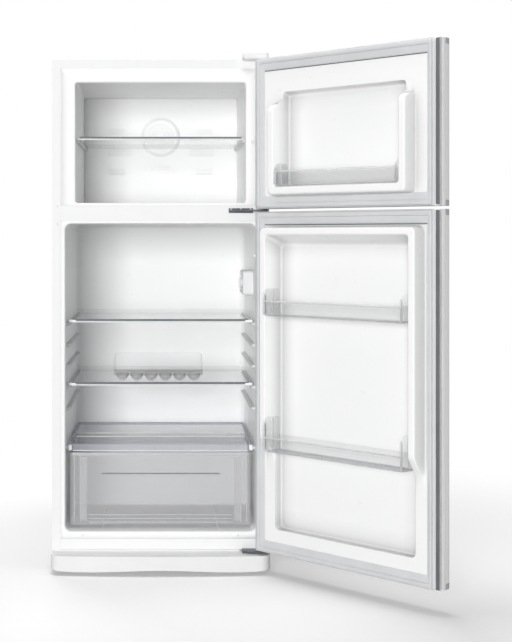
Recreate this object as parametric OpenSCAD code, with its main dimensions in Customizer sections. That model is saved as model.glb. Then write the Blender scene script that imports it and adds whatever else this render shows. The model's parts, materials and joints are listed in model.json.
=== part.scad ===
// Top freezer refrigerator with two hinged doors, drawn with its doors standing open.
// +X points to the hinge side, +Y to the back and +Z up.
// The origin is on the floor, midway between the sides, in the plane of the cabinet's front frame.

/* [Cabinet] */
// Width of the cabinet and of the doors
cab_w = 700; // [620:1:840]
// Height of the cabinet above the floor
cab_h = 1645; // [1560:1:1980]
// Depth of the cabinet behind its front frame
cab_d = 645; // [610:1:780]
// Thickness of the painted steel sheet
sheet = 0.8; // [0.6:0.1:1.5]
// Thickness of the vacuum-formed plastic liners
liner_t = 2; // [1.5:0.1:3]
// Width of the steel strip round the cabinet's front
frame_face = 28; // [22:1:34]
// Height of the cabinet's side sheets above the floor
side_z = 20; // [16:1:24]

/* [Compartments] */
// Wall of the freezer compartment, from the outside to the liner's face
freezer_wall = 75; // [68:1:90]
// Wall of the fridge compartment, from the outside to the liner's face
fridge_wall = 42; // [38:1:60]
// Wall above the freezer compartment
top_wall = 73; // [60:1:90]
// Height inside the freezer compartment
freezer_h = 388; // [360:1:480]
// Height of the divider between the two compartments
divider_h = 67; // [64:1:90]
// Height of the fridge compartment's floor above the ground
fridge_floor = 124; // [118:1:140]
// Depth inside both compartments
inner_d = 598; // [560:1:720]
// Corner radius of the fridge compartment's opening
mouth_r = 20; // [16:1:26]
// Corner radius of the freezer compartment's opening
freezer_mouth_r = 8; // [6:1:26]
// Corner radius at the back of the compartments
back_r = 30; // [28:1:40]

/* [Compressor space] */
// Depth of the fridge compartment's floor in front of the step
step_y = 430; // [400:1:480]
// Lean of the step's front, from its foot to its top
step_lean = 40; // [20:1:60]
// Height of the step's top above the ground
step_z = 340; // [320:1:356]
// Insulation between the compressor space and the fridge compartment
deck_wall = 52; // [40:1:54]

/* [Doors] */
// Angle that both doors stand open at
door_open = 134; // [0:1:136]
// Thickness of a door
door_t = 60; // [56:1:72]
// Space between a door's inner face and the cabinet's front frame
door_gap = 12; // [12:0.5:14]
// Height of the line between the doors above the fridge compartment's ceiling
split_rise = 42; // [40:1:46]
// Space between the two doors
door_split = 9; // [8:0.5:12]
// Height of the fridge door's lower edge above the ground
door_foot = 72; // [71:0.5:74]
// Radius of a door's two front edges
door_r = 20; // [12:1:24]
// Height of the plastic end caps of a door
cap_h = 17; // [15:1:24]
// Distance from a door's hinge edge to its pin
pin_in = 18; // [17:1:20]
// Distance from a door's front to its pin
pin_front = 38; // [37:1:40]
// Radius of the hinge pins
pin_r = 4.95; // [3.95:0.05:5.5]
// Running clearance round a hinge pin
pin_gap = 0.05; // [0.02:0.01:0.1]
// Depth of the finger channel in a door's free edge
grip_deep = 18; // [16:1:26]
// Width of the finger channel
grip_w = 16; // [14:1:24]

/* [Door liners] */
// How far the raised ridges stand above a door's inner face
ridge_h = 45; // [35:1:50]
// Depth of the panel between the ridges below a door's inner face
panel_deep = 28; // [20:1:32]
// Gap between a ridge and the compartment's wall it closes into
ridge_gap = 8; // [7:1:14]
// Width of a ridge's flat top
ridge_land = 21; // [16:1:30]
// Draft of a ridge's outer wall, from its foot to its top
ridge_draft = 9; // [5:1:14]

/* [Door bins] */
// Depth of the fridge door's bins
bin_d = 81; // [70:1:82]
// Depth of the freezer door's bin
freezer_bin_d = 64; // [50:1:70]
// Height of the upper bin's floor
bin_z_high = 828; // [780:1:900]
// Height of the lower bin's floor
bin_z_low = 404; // [402:1:430]
// Height of a bin's front wall
bin_front = 46; // [36:1:60]
// Height of a bin's end walls
bin_end = 84; // [70:1:96]
// Wall of the clear bins and drawers
clear_t = 2.4; // [2:0.1:3.2]

/* [Shelves and drawer] */
// Height of the underside of the highest fridge shelf
rail_top = 793; // [770:1:860]
// Distance between two shelf rails
rail_pitch = 69; // [60:1:74]
// How far the shelf rails stand in from the wall
rail_reach = 16; // [12:1:20]
// Thickness of the glass shelves
glass_t = 4; // [3.2:0.1:5]
// Distance of the fridge shelves behind the front frame
shelf_y = 74; // [70:1:100]
// Depth of the fridge shelves
shelf_d = 480; // [400:1:500]
// Side clearance of the shelves
shelf_gap = 6; // [5:0.5:8]
// Height of the freezer shelf above the freezer's floor
freezer_shelf_rise = 206; // [156:1:236]
// Height of the top of the drawer's cover
cover_z = 397; // [390:1:398]
// Depth of the drawer's cover
cover_d = 510; // [440:1:520]
// Side clearance of the drawer
drawer_gap = 8; // [7:1:12]
// Height of the drawer
drawer_h = 241; // [220:1:242]

/* [Freezer air unit] */
// Distance of the freezer's inner back panel behind the front frame
air_panel_y = 505; // [480:1:512]
// Radius of the fan
fan_r = 50; // [40:1:56]

/* [Base] */
// Height of the plinth's top above the ground
plinth_top = 62; // [56:1:62]
// How far the plinth stands in front of the front frame
plinth_out = 88; // [70:1:100]
// Radius of the rear rollers
roller_r = 18; // [16:0.5:20]
// Radius of the levelling feet's stems
foot_stem_r = 4.95; // [3.95:0.05:6]
// Radius of the levelling feet's soles
foot_r = 18; // [15:1:24]

/* [Condenser] */
// Pitch of the condenser's tube runs
run_pitch = 50; // [40:1:60]
// Number of tube runs
run_count = 15; // [9:2:15]
// Radius of the condenser's tube
tube_r = 2.4; // [2:0.1:3.2]
// Number of wires on each side of the condenser's tube
wire_count = 33; // [17:2:37]

/* [Hidden] */
$fn = 48;

big = 2000;
eps = 0.01;
rest_gap = 0.3;
// How far the rear corners' plan stands out past the compartments' sides
mouth_ease = 0.5;
// Half the hairline between two blocks of insulation
seam = 0.05;
half_w = cab_w / 2;
shell_in = half_w - sheet;
back_face = 12;

// Compartments, from the top down
freezer_z1 = cab_h - top_wall;
freezer_z0 = freezer_z1 - freezer_h;
fridge_z1 = freezer_z0 - divider_h;
fridge_z0 = fridge_floor;
freezer_half = half_w - freezer_wall;
fridge_half = half_w - fridge_wall;
flange_half = half_w - frame_face;
flange_lip = 8;
bar_z0 = fridge_z1 + flange_lip;
bar_z1 = freezer_z0 - flange_lip;
bar_deep = 18;
bar_t = 1.2;
rail_steel = 1.5;
sill_z = fridge_z0 - 24;

// Compressor space
step_r = 14;
deck_z = fridge_z0 - deck_wall;
deck_y = step_y + deck_wall * 0.7;
deck_top_y = deck_y + step_lean;
deck_top_z = step_z - deck_wall;

// Doors, in the closed position
door_in_y = -door_gap;
door_out_y = -door_gap - door_t;
pin_x = half_w - pin_in;
pin_y = door_out_y + pin_front;
pin_bore_r = pin_r + pin_gap;
split_z = fridge_z1 + split_rise;
freezer_door_z0 = split_z + door_split / 2;
freezer_door_z1 = cab_h - 3;
fridge_door_z0 = door_foot;
fridge_door_z1 = split_z - door_split / 2;
door_liner_y = door_in_y - liner_t;
grip_y1 = door_in_y - 3;
grip_y0 = grip_y1 - grip_w;
grip_wall = 1.5;
lip_w = 10;
lip_y0 = grip_y0 - lip_w;
lip_deep = 12;

// Door liners
ridge_top_y = door_in_y + ridge_h;
panel_y = door_in_y - panel_deep;
fridge_ridge_x = fridge_half - ridge_gap;
freezer_ridge_x = freezer_half - ridge_gap;
ridge_r = 7;
fridge_ridge_z1 = fridge_z1 - 10;
fridge_ridge_z0 = 380;
fridge_panel_z0 = fridge_door_z0 + 80;
freezer_ridge_z0 = freezer_z0 + 18;
freezer_ridge_z1 = freezer_z1 - 80;
freezer_panel_z0 = freezer_ridge_z0 + 30;
freezer_panel_z1 = freezer_z1 - 26;
freezer_bin_z = freezer_panel_z0 + 0.3;
bin_back_y = panel_y + 11;
low_bin_rise = 22;

// Gaskets
gasket_base_in = 2;
gasket_base_w = 32;
gasket_base_t = 4;
gasket_bulb_side = 12;
gasket_bulb_end = 4;
gasket_bulb_w = 14;
gasket_face_y = -0.8;

// Shelves and drawer
freezer_shelf_z = freezer_z0 + freezer_shelf_rise;
rail_t = 9;
rail_y = 60;
rail_end_y = inner_d - 22;
shelf_half = fridge_half - shelf_gap;
upper_shelf_z = rail_top + rest_gap;
lower_shelf_z = upper_shelf_z - 3 * rail_pitch;
trim_h = 11;
trim_d = 12;
cover_t = 9;
cover_y = 66;
cover_ledge_z = cover_z - cover_t;
cover_half = fridge_half - shelf_gap;
cover_rib_y = [cover_y + 152, cover_y + 232];
drawer_y = 45;
drawer_z = fridge_z0 + 6;
drawer_half = fridge_half - drawer_gap;
drawer_bottom_d = step_y - drawer_y - 22;
groove_z = drawer_z + drawer_h - 64;
groove_half = 195;
groove_h = 11;
skid_x = 190;
skid_w = 10;
freezer_shelf_y = 40;
freezer_rail_reach = 13;
freezer_rail_t = 8;
ledge_reach = 12;
ledge_t = 8;
// The egg tray's place on the lower shelf and its half sizes
egg_x = -8;
egg_y = 190;
egg_half_w = 149;
egg_half_d = 52;
// Heights of the egg tray's rim in front and at the back
egg_front_h = 40;
egg_back_h = 90;

// Base
base_z0 = 24;
base_z1 = 66;
channel_w = 30;
channel_t = 2;
plinth_t = 2.5;
foot_x = half_w - 62;
foot_y = 60;
roller_x = half_w - 42;
roller_w = 18;
roller_y = cab_d - 40;
axle_r = 4;
plate_y0 = deck_top_y + 8;
plate_y1 = cab_d - 6;
plate_z = 44;
comp_r = 62;
comp_x = 90;
comp_y = (plate_y0 + plate_y1) / 2 + 2;
comp_z = plate_z + 20;
comp_h = 150;

// Condenser
coil_y = cab_d + 20;
coil_z0 = 420;
coil_half = half_w - 110;
wire_r = 0.8;

// Fan
fan_z = freezer_z1 - 140;
fan_back_y = air_panel_y + 22;
shaft_r = 2.95;

// ---------------------------------------------------------------- helpers

// A box given by its lowest and highest corners.
module span(x, y, z) {
    translate([x[0], y[0], z[0]]) cube([x[1] - x[0], y[1] - y[0], z[1] - z[0]]);
}

// Sweeps an XZ outline from y0 to y1.
module along_y(y0, y1) {
    translate([0, y1, 0]) rotate([90, 0, 0]) linear_extrude(y1 - y0) children();
}

// Sweeps a YZ outline from x0 to x1.
module along_x(x0, x1) {
    translate([x0, 0, 0]) rotate([90, 0, 90]) linear_extrude(x1 - x0) children();
}

// Sweeps an XY outline from z0 to z1.
module along_z(z0, z1) {
    translate([0, 0, z0]) linear_extrude(z1 - z0) children();
}

// A rectangle given by its ranges, with all four corners round.
module round_box(x, y, r) {
    translate([x[0] + r, y[0]]) square([x[1] - x[0] - 2 * r, y[1] - y[0]]);
    translate([x[0], y[0] + r]) square([x[1] - x[0], y[1] - y[0] - 2 * r]);
    for (px = [x[0] + r, x[1] - r], py = [y[0] + r, y[1] - r]) {
        translate([px, py]) circle(r);
    }
}

// A rectangle given by its ranges, with the two corners at its high end round.
module end_round(x, y, r) {
    translate([x[0], y[0]]) square([x[1] - x[0], y[1] - y[0] - r]);
    translate([x[0] + r, y[0]]) square([x[1] - x[0] - 2 * r, y[1] - y[0]]);
    for (px = [x[0] + r, x[1] - r]) {
        translate([px, y[1] - r]) circle(r);
    }
}

// Points on an arc, for outlines whose corners are round.
function arc(cx, cy, r, a0, a1, n = 5) =
    [for (i = [0:n]) [cx + r * cos(a0 + (a1 - a0) * i / n), cy + r * sin(a0 + (a1 - a0) * i / n)]];

// Turns a door and all it carries from closed to where it stands open.
module on_door() {
    translate([pin_x, pin_y, 0])
        rotate([0, 0, door_open])
            translate([-pin_x, -pin_y, 0])
                children();
}

// ---------------------------------------------------------------- cabinet

// A compartment's inside, with round corners at its mouth and its back; grow is the liner's thickness.
module compartment(half, z0, z1, r, grow, y_front) {
    back = inner_d + grow;
    wide = half + grow + mouth_ease;
    intersection() {
        along_y(y_front, back + 1)
            round_box([-half - grow, half + grow], [z0 - grow, z1 + grow], r + grow);
        along_z(z0 - grow - 1, z1 + grow + 1)
            end_round([-wide, wide], [y_front - 1, back], back_r + grow);
    }
}

// The block of insulation over the compressor space, which steps the fridge compartment's floor.
module step_block(grow) {
    foot = step_y + grow;
    top = step_z - grow;
    r = step_r;
    along_x(-big / 2, big / 2)
        polygon(concat(
            [[foot, fridge_z0 - 60]],
            [[foot, fridge_z0]],
            arc(foot + step_lean + r, top - r, r, 170, 90),
            [[big, top], [big, fridge_z0 - 60]]
        ));
}

module fridge_room(grow, y_front) {
    difference() {
        compartment(fridge_half, fridge_z0, fridge_z1, mouth_r, grow, y_front);
        step_block(grow);
    }
}

module freezer_room(grow, y_front) {
    compartment(freezer_half, freezer_z0, freezer_z1, freezer_mouth_r, grow, y_front);
}

// The cabinet's outline seen from the front, set in by a wall.
module shell_outline(inset) {
    z0 = side_z - (inset > 0 ? 5 : 0);
    end_round([-half_w + inset, half_w - inset], [z0, cab_h - inset], 6 - inset);
}

// The wrapped steel sheet of both sides and the top, with its front and rear returns.
module outer_shell() {
    color("white") {
        along_y(0, cab_d) difference() {
            shell_outline(0);
            shell_outline(sheet);
        }
        along_y(0, sheet) difference() {
            shell_outline(0);
            translate([-flange_half, 0]) square([2 * flange_half, cab_h - frame_face]);
        }
        along_y(cab_d - sheet, cab_d) difference() {
            shell_outline(0);
            translate([-half_w + back_face, 0]) square([cab_w - 2 * back_face, cab_h - back_face]);
        }
    }
}

// The deck's outline in YZ: its underside is set down by one sheet.
function deck_line(drop) = [
    [liner_t, deck_z - drop],
    [deck_y + drop, deck_z - drop],
    [deck_top_y + drop, deck_top_z - drop],
    [cab_d - sheet, deck_top_z - drop]
];

module deck_panel() {
    low = deck_line(sheet);
    color("silver")
        along_x(-shell_in, shell_in)
            polygon(concat(deck_line(0), [for (i = [3:-1:0]) low[i]]));
}

// The insulation round both liners, drawn as plain blocks that meet at hairline seams.
module cabinet_foam() {
    freezer_x = freezer_half + liner_t;
    fridge_x = fridge_half + liner_t;
    foot = step_y + liner_t;
    under = step_z - liner_t;
    deep = [liner_t, cab_d - 2 * sheet];
    behind = [inner_d + liner_t, cab_d - 2 * sheet];
    freezer_z = [freezer_z0 - liner_t, freezer_z1 + liner_t];
    divider_z = [fridge_z1 + liner_t, freezer_z0 - liner_t];
    color("lemonchiffon") difference() {
        intersection() {
            along_x(-shell_in, shell_in)
                polygon(concat(
                    deck_line(0),
                    [[cab_d - sheet, cab_h - sheet], [liner_t, cab_h - sheet]]
                ));
            union() {
                for (side = [0, 1]) {
                    mirror([side, 0, 0]) {
                        foam_block([fridge_x, shell_in], deep, [deck_top_z, cab_h]);
                        foam_block([fridge_x, shell_in], deep, [0, deck_top_z]);
                        foam_block([freezer_x, fridge_x], deep, freezer_z);
                    }
                }
                foam_block([-fridge_x, fridge_x], deep, [freezer_z[1], cab_h]);
                foam_block([-freezer_x, freezer_x], behind, freezer_z);
                foam_block([-fridge_x, fridge_x], [bar_deep + 1, deep[1]], divider_z);
                foam_block([-fridge_x, fridge_x], behind, [under, divider_z[0]]);
                foam_block([-fridge_x, fridge_x], [deck_top_y, deep[1]], [0, under]);
                foam_block([-fridge_x, fridge_x], [0, foot], [0, fridge_z0 - liner_t]);
                along_x(-fridge_x + seam, fridge_x - seam)
                    polygon([
                        [foot + seam, 0], [deck_top_y - seam, 0], [deck_top_y - seam, under - seam],
                        [foot + step_lean + step_r, under - seam],
                        [foot + step_lean + seam, under - step_r], [foot + seam, fridge_z0]
                    ]);
            }
        }
        span([-flange_half - 1, flange_half + 1], [0, bar_deep + 1], [bar_z0 - 1, bar_z1 + 1]);
        shell_corner_relief();
        at_fan_switch() plunger_room();
        at_light_switch() plunger_room();
    }
}

// One block of the insulation, a hairline smaller than the ranges it fills.
module foam_block(x, y, z) {
    span([x[0] + seam, x[1] - seam], [y[0] + seam, y[1] - seam], [z[0] + seam, z[1] - seam]);
}

// Room for the round top corners of the wrapped sheet.
module shell_corner_relief() {
    difference() {
        span([-half_w, half_w], [-1, cab_d + 1], [cab_h - 12, cab_h + 1]);
        along_y(-2, cab_d + 2) end_round([-shell_in, shell_in], [cab_h - 40, cab_h - sheet], 6 - sheet);
    }
}

// A rail on both side walls, with a round nose and a round front end.
module side_rails(half, z, y0, y1, reach, t) {
    for (side = [-1, 1]) {
        intersection() {
            along_y(y0, y1) {
                translate([side * (half - reach / 2 + t / 4) - (reach - t / 2) / 2, z - t])
                    square([reach - t / 2, t]);
                translate([side * (half - reach + t / 2), z - t / 2]) circle(t / 2);
            }
            along_z(z - t - 1, z + 1)
                end_round_front([half - reach, half + 1], [y0, y1 + 1], reach * 0.75, side);
        }
    }
}

// A rail seen from above: its front corner away from the wall is round.
module end_round_front(x, y, r, side) {
    mirror([side < 0 ? 1 : 0, 0]) {
        translate([x[0], y[0] + r]) square([x[1] - x[0], y[1] - y[0] - r]);
        translate([x[0] + r, y[0]]) square([x[1] - x[0] - r, y[1] - y[0]]);
        translate([x[0] + r, y[0] + r]) circle(r);
    }
}

module freezer_liner() {
    color("whitesmoke") {
        difference() {
            union() {
                freezer_room(liner_t, 0);
                along_y(0, liner_t)
                    translate([-flange_half, bar_z1])
                        square([2 * flange_half, cab_h - frame_face - bar_z1]);
            }
            freezer_room(0, -1);
            at_fan_switch() translate([0, 0, -1]) cylinder(r = plunger_bore_r, h = 6);
        }
        side_rails(freezer_half + mouth_ease, freezer_shelf_z, freezer_shelf_y - 2, air_panel_y - 4,
            freezer_rail_reach, freezer_rail_t);
    }
}

module fridge_liner() {
    color("whitesmoke") {
        difference() {
            union() {
                fridge_room(liner_t, 0);
                along_y(0, liner_t)
                    translate([-flange_half, sill_z])
                        square([2 * flange_half, bar_z0 - sill_z]);
            }
            fridge_room(0, -1);
            at_light_switch() translate([0, 0, -1]) cylinder(r = plunger_bore_r, h = 6);
        }
        for (i = [0:4]) {
            side_rails(fridge_half + mouth_ease, rail_top - i * rail_pitch, rail_y, rail_end_y,
                rail_reach, rail_t);
        }
        side_rails(fridge_half + mouth_ease, cover_ledge_z, cover_y - 4, rail_end_y, ledge_reach, ledge_t);
        for (side = [-1, 1]) {
            span([side * skid_x - skid_w / 2, side * skid_x + skid_w / 2], [drawer_y - 5, step_y - 8],
                [fridge_z0 - 0.5, drawer_z - rest_gap]);
        }
    }
}

// The steel channel across the front between the compartments, which carries the middle hinge.
module divider_bar() {
    color("white") {
        span([-flange_half, flange_half], [0, bar_t], [bar_z0, bar_z1]);
        span([-flange_half, flange_half], [bar_t - eps, bar_deep], [bar_z0, bar_z0 + bar_t]);
        span([-flange_half, flange_half], [bar_t - eps, bar_deep], [bar_z1 - bar_t, bar_z1]);
    }
}

// The steel angle across the front under the fridge compartment.
module bottom_rail() {
    color("white")
        along_x(-flange_half, flange_half)
            polygon([
                [0, base_z1], [60, base_z1], [60, base_z1 + rail_steel], [rail_steel, base_z1 + rail_steel],
                [rail_steel, sill_z], [0, sill_z]
            ]);
}

// The rear sheet, with pressed stiffening swages.
module back_panel() {
    x1 = half_w - back_face;
    color("gainsboro") {
        span([-x1, x1], [cab_d - sheet, cab_d], [deck_top_z - sheet, cab_h - back_face]);
        for (z = [deck_top_z + 60, cab_h - 300, cab_h - 200, cab_h - 100]) {
            intersection() {
                translate([-x1 + 60, cab_d - 6, z]) rotate([0, 90, 0]) cylinder(r = 9, h = 2 * x1 - 120);
                span([-x1, x1], [cab_d - sheet, cab_d + 9], [z - 20, z + 20]);
            }
        }
    }
}

// ---------------------------------------------------------------- base

// Two side channels, a front crossbar, the feet's threaded bosses and the rollers' forks.
module base_frame() {
    bar_half = shell_in - channel_w + 2;
    color("silver") difference() {
        union() {
            for (side = [-1, 1]) {
                side_channel(side);
                roller_fork(side);
            }
            span([-bar_half, bar_half], [foot_y - 18, foot_y + 18], [base_z1 - 3, base_z1]);
            for (side = [-1, 1]) {
                translate([side * foot_x, foot_y, base_z0 + 8]) cylinder(r = 11, h = base_z1 - base_z0 - 8);
            }
        }
        for (side = [-1, 1]) {
            translate([side * foot_x, foot_y, 0]) cylinder(r = foot_stem_r + pin_gap, h = base_z1 + 10);
            translate([side * roller_x - 40, roller_y, roller_r]) rotate([0, 90, 0])
                cylinder(r = axle_r, h = 80);
        }
    }
}

module side_channel(side) {
    x1 = shell_in;
    x0 = shell_in - channel_w;
    along_y(12, cab_d - 12)
        mirror([side < 0 ? 1 : 0, 0])
            polygon([
                [x1, base_z0], [x1, base_z1], [x0, base_z1], [x0, base_z1 - channel_t],
                [x1 - channel_t, base_z1 - channel_t], [x1 - channel_t, base_z0 + channel_t],
                [x0, base_z0 + channel_t], [x0, base_z0]
            ]);
}

module roller_fork(side) {
    inner = roller_x - roller_w / 2 - 3.25;
    for (ear = [-1, 1]) {
        x = side * roller_x + ear * (roller_w / 2 + 2);
        translate([x - 1.25, roller_y, roller_r]) rotate([0, 90, 0]) cylinder(r = 11, h = 2.5);
        span([x - 1.25, x + 1.25], [roller_y - 11, roller_y + 11], [roller_r, base_z1 - eps]);
    }
    mirror([side < 0 ? 1 : 0, 0, 0])
        span([inner, shell_in - channel_w + 1], [roller_y - 22, roller_y + 22],
            [base_z1 - channel_t, base_z1]);
}

module foot(side) {
    color("dimgray") translate([side * foot_x, foot_y, 0]) {
        cylinder(r = foot_r, h = 5);
        translate([0, 0, 5 - eps]) cylinder(r1 = foot_r - 2, r2 = 9, h = 4);
        cylinder(r = 9.5, h = 16, $fn = 6);
        cylinder(r = foot_stem_r, h = base_z1 - 4);
    }
}

module left_foot() { foot(-1); }
module right_foot() { foot(1); }

module roller(side) {
    color("darkgray") translate([side * roller_x, roller_y, roller_r]) rotate([0, 90, 0]) difference() {
        union() {
            translate([0, 0, -roller_w / 2]) cylinder(r = roller_r, h = roller_w);
            translate([0, 0, -roller_w / 2 - 0.4]) cylinder(r = 7, h = roller_w + 0.8);
        }
        translate([0, 0, -roller_w]) cylinder(r = axle_r + pin_gap, h = 2 * roller_w);
        for (end = [-1, 1]) {
            translate([0, 0, end * roller_w / 2]) rotate_extrude()
                polygon([[9, -2], [14, -2], [15, 3], [8, 3]]);
        }
    }
}

module left_roller() { roller(-1); }
module right_roller() { roller(1); }

// A headed axle through each rear roller.
module roller_axles() {
    color("silver") for (side = [-1, 1]) {
        translate([side * roller_x, roller_y, roller_r]) rotate([0, 90, 0]) {
            translate([0, 0, -16]) cylinder(r = axle_r, h = 32);
            translate([0, 0, roller_w / 2 + 3.25 + 0.2]) cylinder(r = 6, h = 2);
        }
    }
}

// The kick plate: a bowed moulding with round ends and a wavy lower edge.
module plinth() {
    color("white") difference() {
        intersection() {
            along_z(0, plinth_top) plinth_plan(0);
            along_y(-big / 4, big / 4) plinth_front();
        }
        along_z(-1, plinth_top - plinth_t) plinth_plan(plinth_t);
        span([pin_x - 72, pin_x + 12], [-4.5, 5], [low_arm_z - 18, big]);
    }
}

// The plinth from above: a shallow bow that runs smoothly into two round ends.
module plinth_plan(inset) {
    bow = 16;
    end_r = 34;
    bow_r = (half_w * half_w + bow * bow) / (2 * bow);
    end_x = half_w - end_r;
    turn = asin(end_x / (bow_r - end_r));
    bow_y = bow_r - plinth_out;
    end_y = bow_y - (bow_r - end_r) * cos(turn);
    back = -rest_gap + (inset > 0 ? 5 : 0);
    polygon(concat(
        arc(-end_x, end_y, end_r - inset, 180, 270 - turn, 8),
        arc(0, bow_y, bow_r - inset, 270 - turn + 0.2, 270 + turn - 0.2, 48),
        arc(end_x, end_y, end_r - inset, 270 + turn, 360, 8),
        [[half_w - inset, back], [-half_w + inset, back]]
    ));
}

// The plinth from the front: its lower edge is raised in the middle and at both ends.
module plinth_front() {
    low = 11;
    polygon(concat(
        [[half_w + 5, plinth_top], [-half_w - 5, plinth_top]],
        [for (i = [0:48]) let (x = -half_w + i * cab_w / 48)
            [x, low + 7 * pow(cos(x / half_w * 180) / 2 + 0.5, 2) + 6 * pow(abs(x) / half_w, 10)]]
    ));
}

// ---------------------------------------------------------------- cooling system

// The steel cross-member that the compressor stands on.
module compressor_plate() {
    x1 = shell_in - channel_w + 14;
    well = [comp_x - 105, comp_x + 105];
    plate_t = 2;
    color("silver") difference() {
        union() {
            span([-x1, x1], [plate_y0, plate_y1 - 60], [base_z1 + rest_gap, base_z1 + 2]);
            span(well, [plate_y0, plate_y1], [plate_z - plate_t, plate_z]);
            for (x = [well[0], well[1] - plate_t]) {
                span([x, x + plate_t], [plate_y0, plate_y1 - 60], [plate_z - plate_t, base_z1 + 2]);
            }
        }
        span([well[0] + plate_t, well[1] - plate_t], [plate_y0 - 1, plate_y1], [plate_z, base_z1 + 5]);
        grommet_places() translate([0, 0, -5]) cylinder(r = 4, h = 10);
    }
}

module grommet_places() {
    for (dx = [-80, 80], dy = [-46, 46]) {
        translate([comp_x + dx, comp_y + dy, plate_z]) children();
    }
}

// Four rubber mounts with a bolt through each.
module compressor_grommets() {
    color("dimgray") grommet_places() {
        cylinder(r = 10, h = 6);
        translate([0, 0, 6 - eps]) cylinder(r = 7.5, h = 6);
        translate([0, 0, 12 - eps]) cylinder(r = 10, h = comp_z - plate_z - 12 - 3);
        translate([0, 0, -4]) cylinder(r = 3.9, h = 5);
    }
}

// A welded shell with domed ends on a foot plate, with its three pipe stubs.
module compressor() {
    dome = 34;
    wall_z = comp_h - 12 - dome;
    color("black") translate([comp_x, comp_y, comp_z]) {
        translate([0, 0, 6]) rotate_extrude()
            polygon(concat(
                [[0, 0], [comp_r - 10, 0], [comp_r, 10], [comp_r, 46], [comp_r + 3, 46],
                    [comp_r + 3, 50], [comp_r, 50]],
                [for (a = [0:10:60]) [comp_r - 30 * (1 - cos(a * 1.5)), wall_z + dome * sin(a * 1.5)]],
                [[0, wall_z + dome]]
            ));
        translate([0, 0, -3]) linear_extrude(10) round_box([-30, 30], [-40, 40], 8);
        translate([0, 0, -3]) linear_extrude(3) round_box([-92, 92], [-56, 56], 10);
        for (stub = [[-20, 3.2], [0, 3.2], [20, 4.5]]) {
            translate([-comp_r - 14, stub[0], 60]) rotate([0, 90, 0]) cylinder(r = stub[1], h = 24);
        }
    }
}

// The relay and terminal cover on the compressor's side.
module start_relay() {
    color("black")
        difference() {
            translate([comp_x + comp_r - 4, comp_y - 26, comp_z + 60]) cube([34, 52, 48]);
            translate([comp_x, comp_y, comp_z]) cylinder(r = comp_r + rest_gap, h = comp_h);
        }
}

// The tray over the compressor in which the melt water dries off.
module drain_pan() {
    pan_z = comp_z + comp_h - 6 + rest_gap;
    x = 112;
    y = 62;
    wall = 2;
    color("gray") translate([comp_x, comp_y, pan_z]) difference() {
        linear_extrude(34) round_box([-x, x], [-y, y], 16);
        translate([0, 0, wall]) linear_extrude(34) round_box([wall - x, x - wall], [wall - y, y - wall], 14);
    }
}

// The serpentine: level runs joined by half-circle bends at alternate ends.
module condenser_tube() {
    color("black") {
        for (i = [0:run_count - 1]) {
            translate([-coil_half, coil_y, coil_z0 + i * run_pitch]) rotate([0, 90, 0])
                cylinder(r = tube_r, h = 2 * coil_half);
        }
        for (i = [0:run_count - 2]) {
            side = i % 2 == 0 ? 1 : -1;
            translate([side * coil_half, coil_y, coil_z0 + (i + 0.5) * run_pitch])
                rotate([90, 0, 0]) rotate([0, 0, side > 0 ? -90 : 90])
                    rotate_extrude(angle = 180) translate([run_pitch / 2, 0]) circle(tube_r);
        }
    }
}

// Upright wires welded to the front and back of the tube runs.
module condenser_wires() {
    height = (run_count - 1) * run_pitch + 16;
    color("black") for (i = [0:wire_count - 1], side = [-1, 1]) {
        x = (i - (wire_count - 1) / 2) * (2 * coil_half - 24) / (wire_count - 1);
        translate([x, coil_y + side * (tube_r + wire_r * 0.9 + 0.05), coil_z0 - 8])
            cylinder(r = wire_r, h = height, $fn = 8);
    }
}

// Four stand-offs that clip the condenser to the back.
module condenser_clips() {
    top = coil_z0 + (run_count - 1) * run_pitch;
    color("dimgray") for (side = [-1, 1], z = [coil_z0 + run_pitch, top - run_pitch]) {
        translate([side * (coil_half - 6), 0, z]) difference() {
            span([-5, 5], [cab_d, coil_y + 7], [-9, 9]);
            translate([-10, coil_y, 0]) rotate([0, 90, 0]) cylinder(r = tube_r + 0.02, h = 20);
        }
    }
}

cord_r = 3.6;

// The strain relief where the mains lead leaves the cabinet.
module cord_gland() {
    color("black") translate([-half_w + 90, cab_d, deck_top_z + 26]) rotate([-90, 0, 0]) difference() {
        union() {
            cylinder(r = 11, h = 3);
            cylinder(r1 = 8, r2 = 6, h = 15);
        }
        translate([0, 0, 2]) cylinder(r = cord_r, h = 20);
    }
}

// The finned cooling coil behind the freezer's inner back panel.
module evaporator() {
    y = air_panel_y + 42;
    z = freezer_z0 + 30;
    coil = freezer_half - 60;
    color("silver") {
        for (row = [0:3], layer = [-1, 1]) {
            translate([-coil, y + layer * 14, z + row * 36]) rotate([0, 90, 0])
                cylinder(r = 4, h = 2 * coil);
        }
        for (i = [0:10]) {
            x = -coil + 20 + i * (2 * coil - 40) / 10;
            span([x - 0.5, x + 0.5], [y - 28, y + 28], [z - 14, z + 122]);
        }
        for (x = [-coil + 6, coil - 8]) {
            span([x, x + 2], [y - 30, inner_d - rest_gap], [z - 18, z + 126]);
        }
    }
}

// ---------------------------------------------------------------- freezer inside

// Slots in the freezer's inner back panel: height, half pitch across, width and number of slots.
air_slots = [
    [freezer_h - 112, 158, 56, 3],
    [freezer_h - 182, 148, 90, 4],
    [freezer_h - 256, 158, 60, 3]
];

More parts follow.
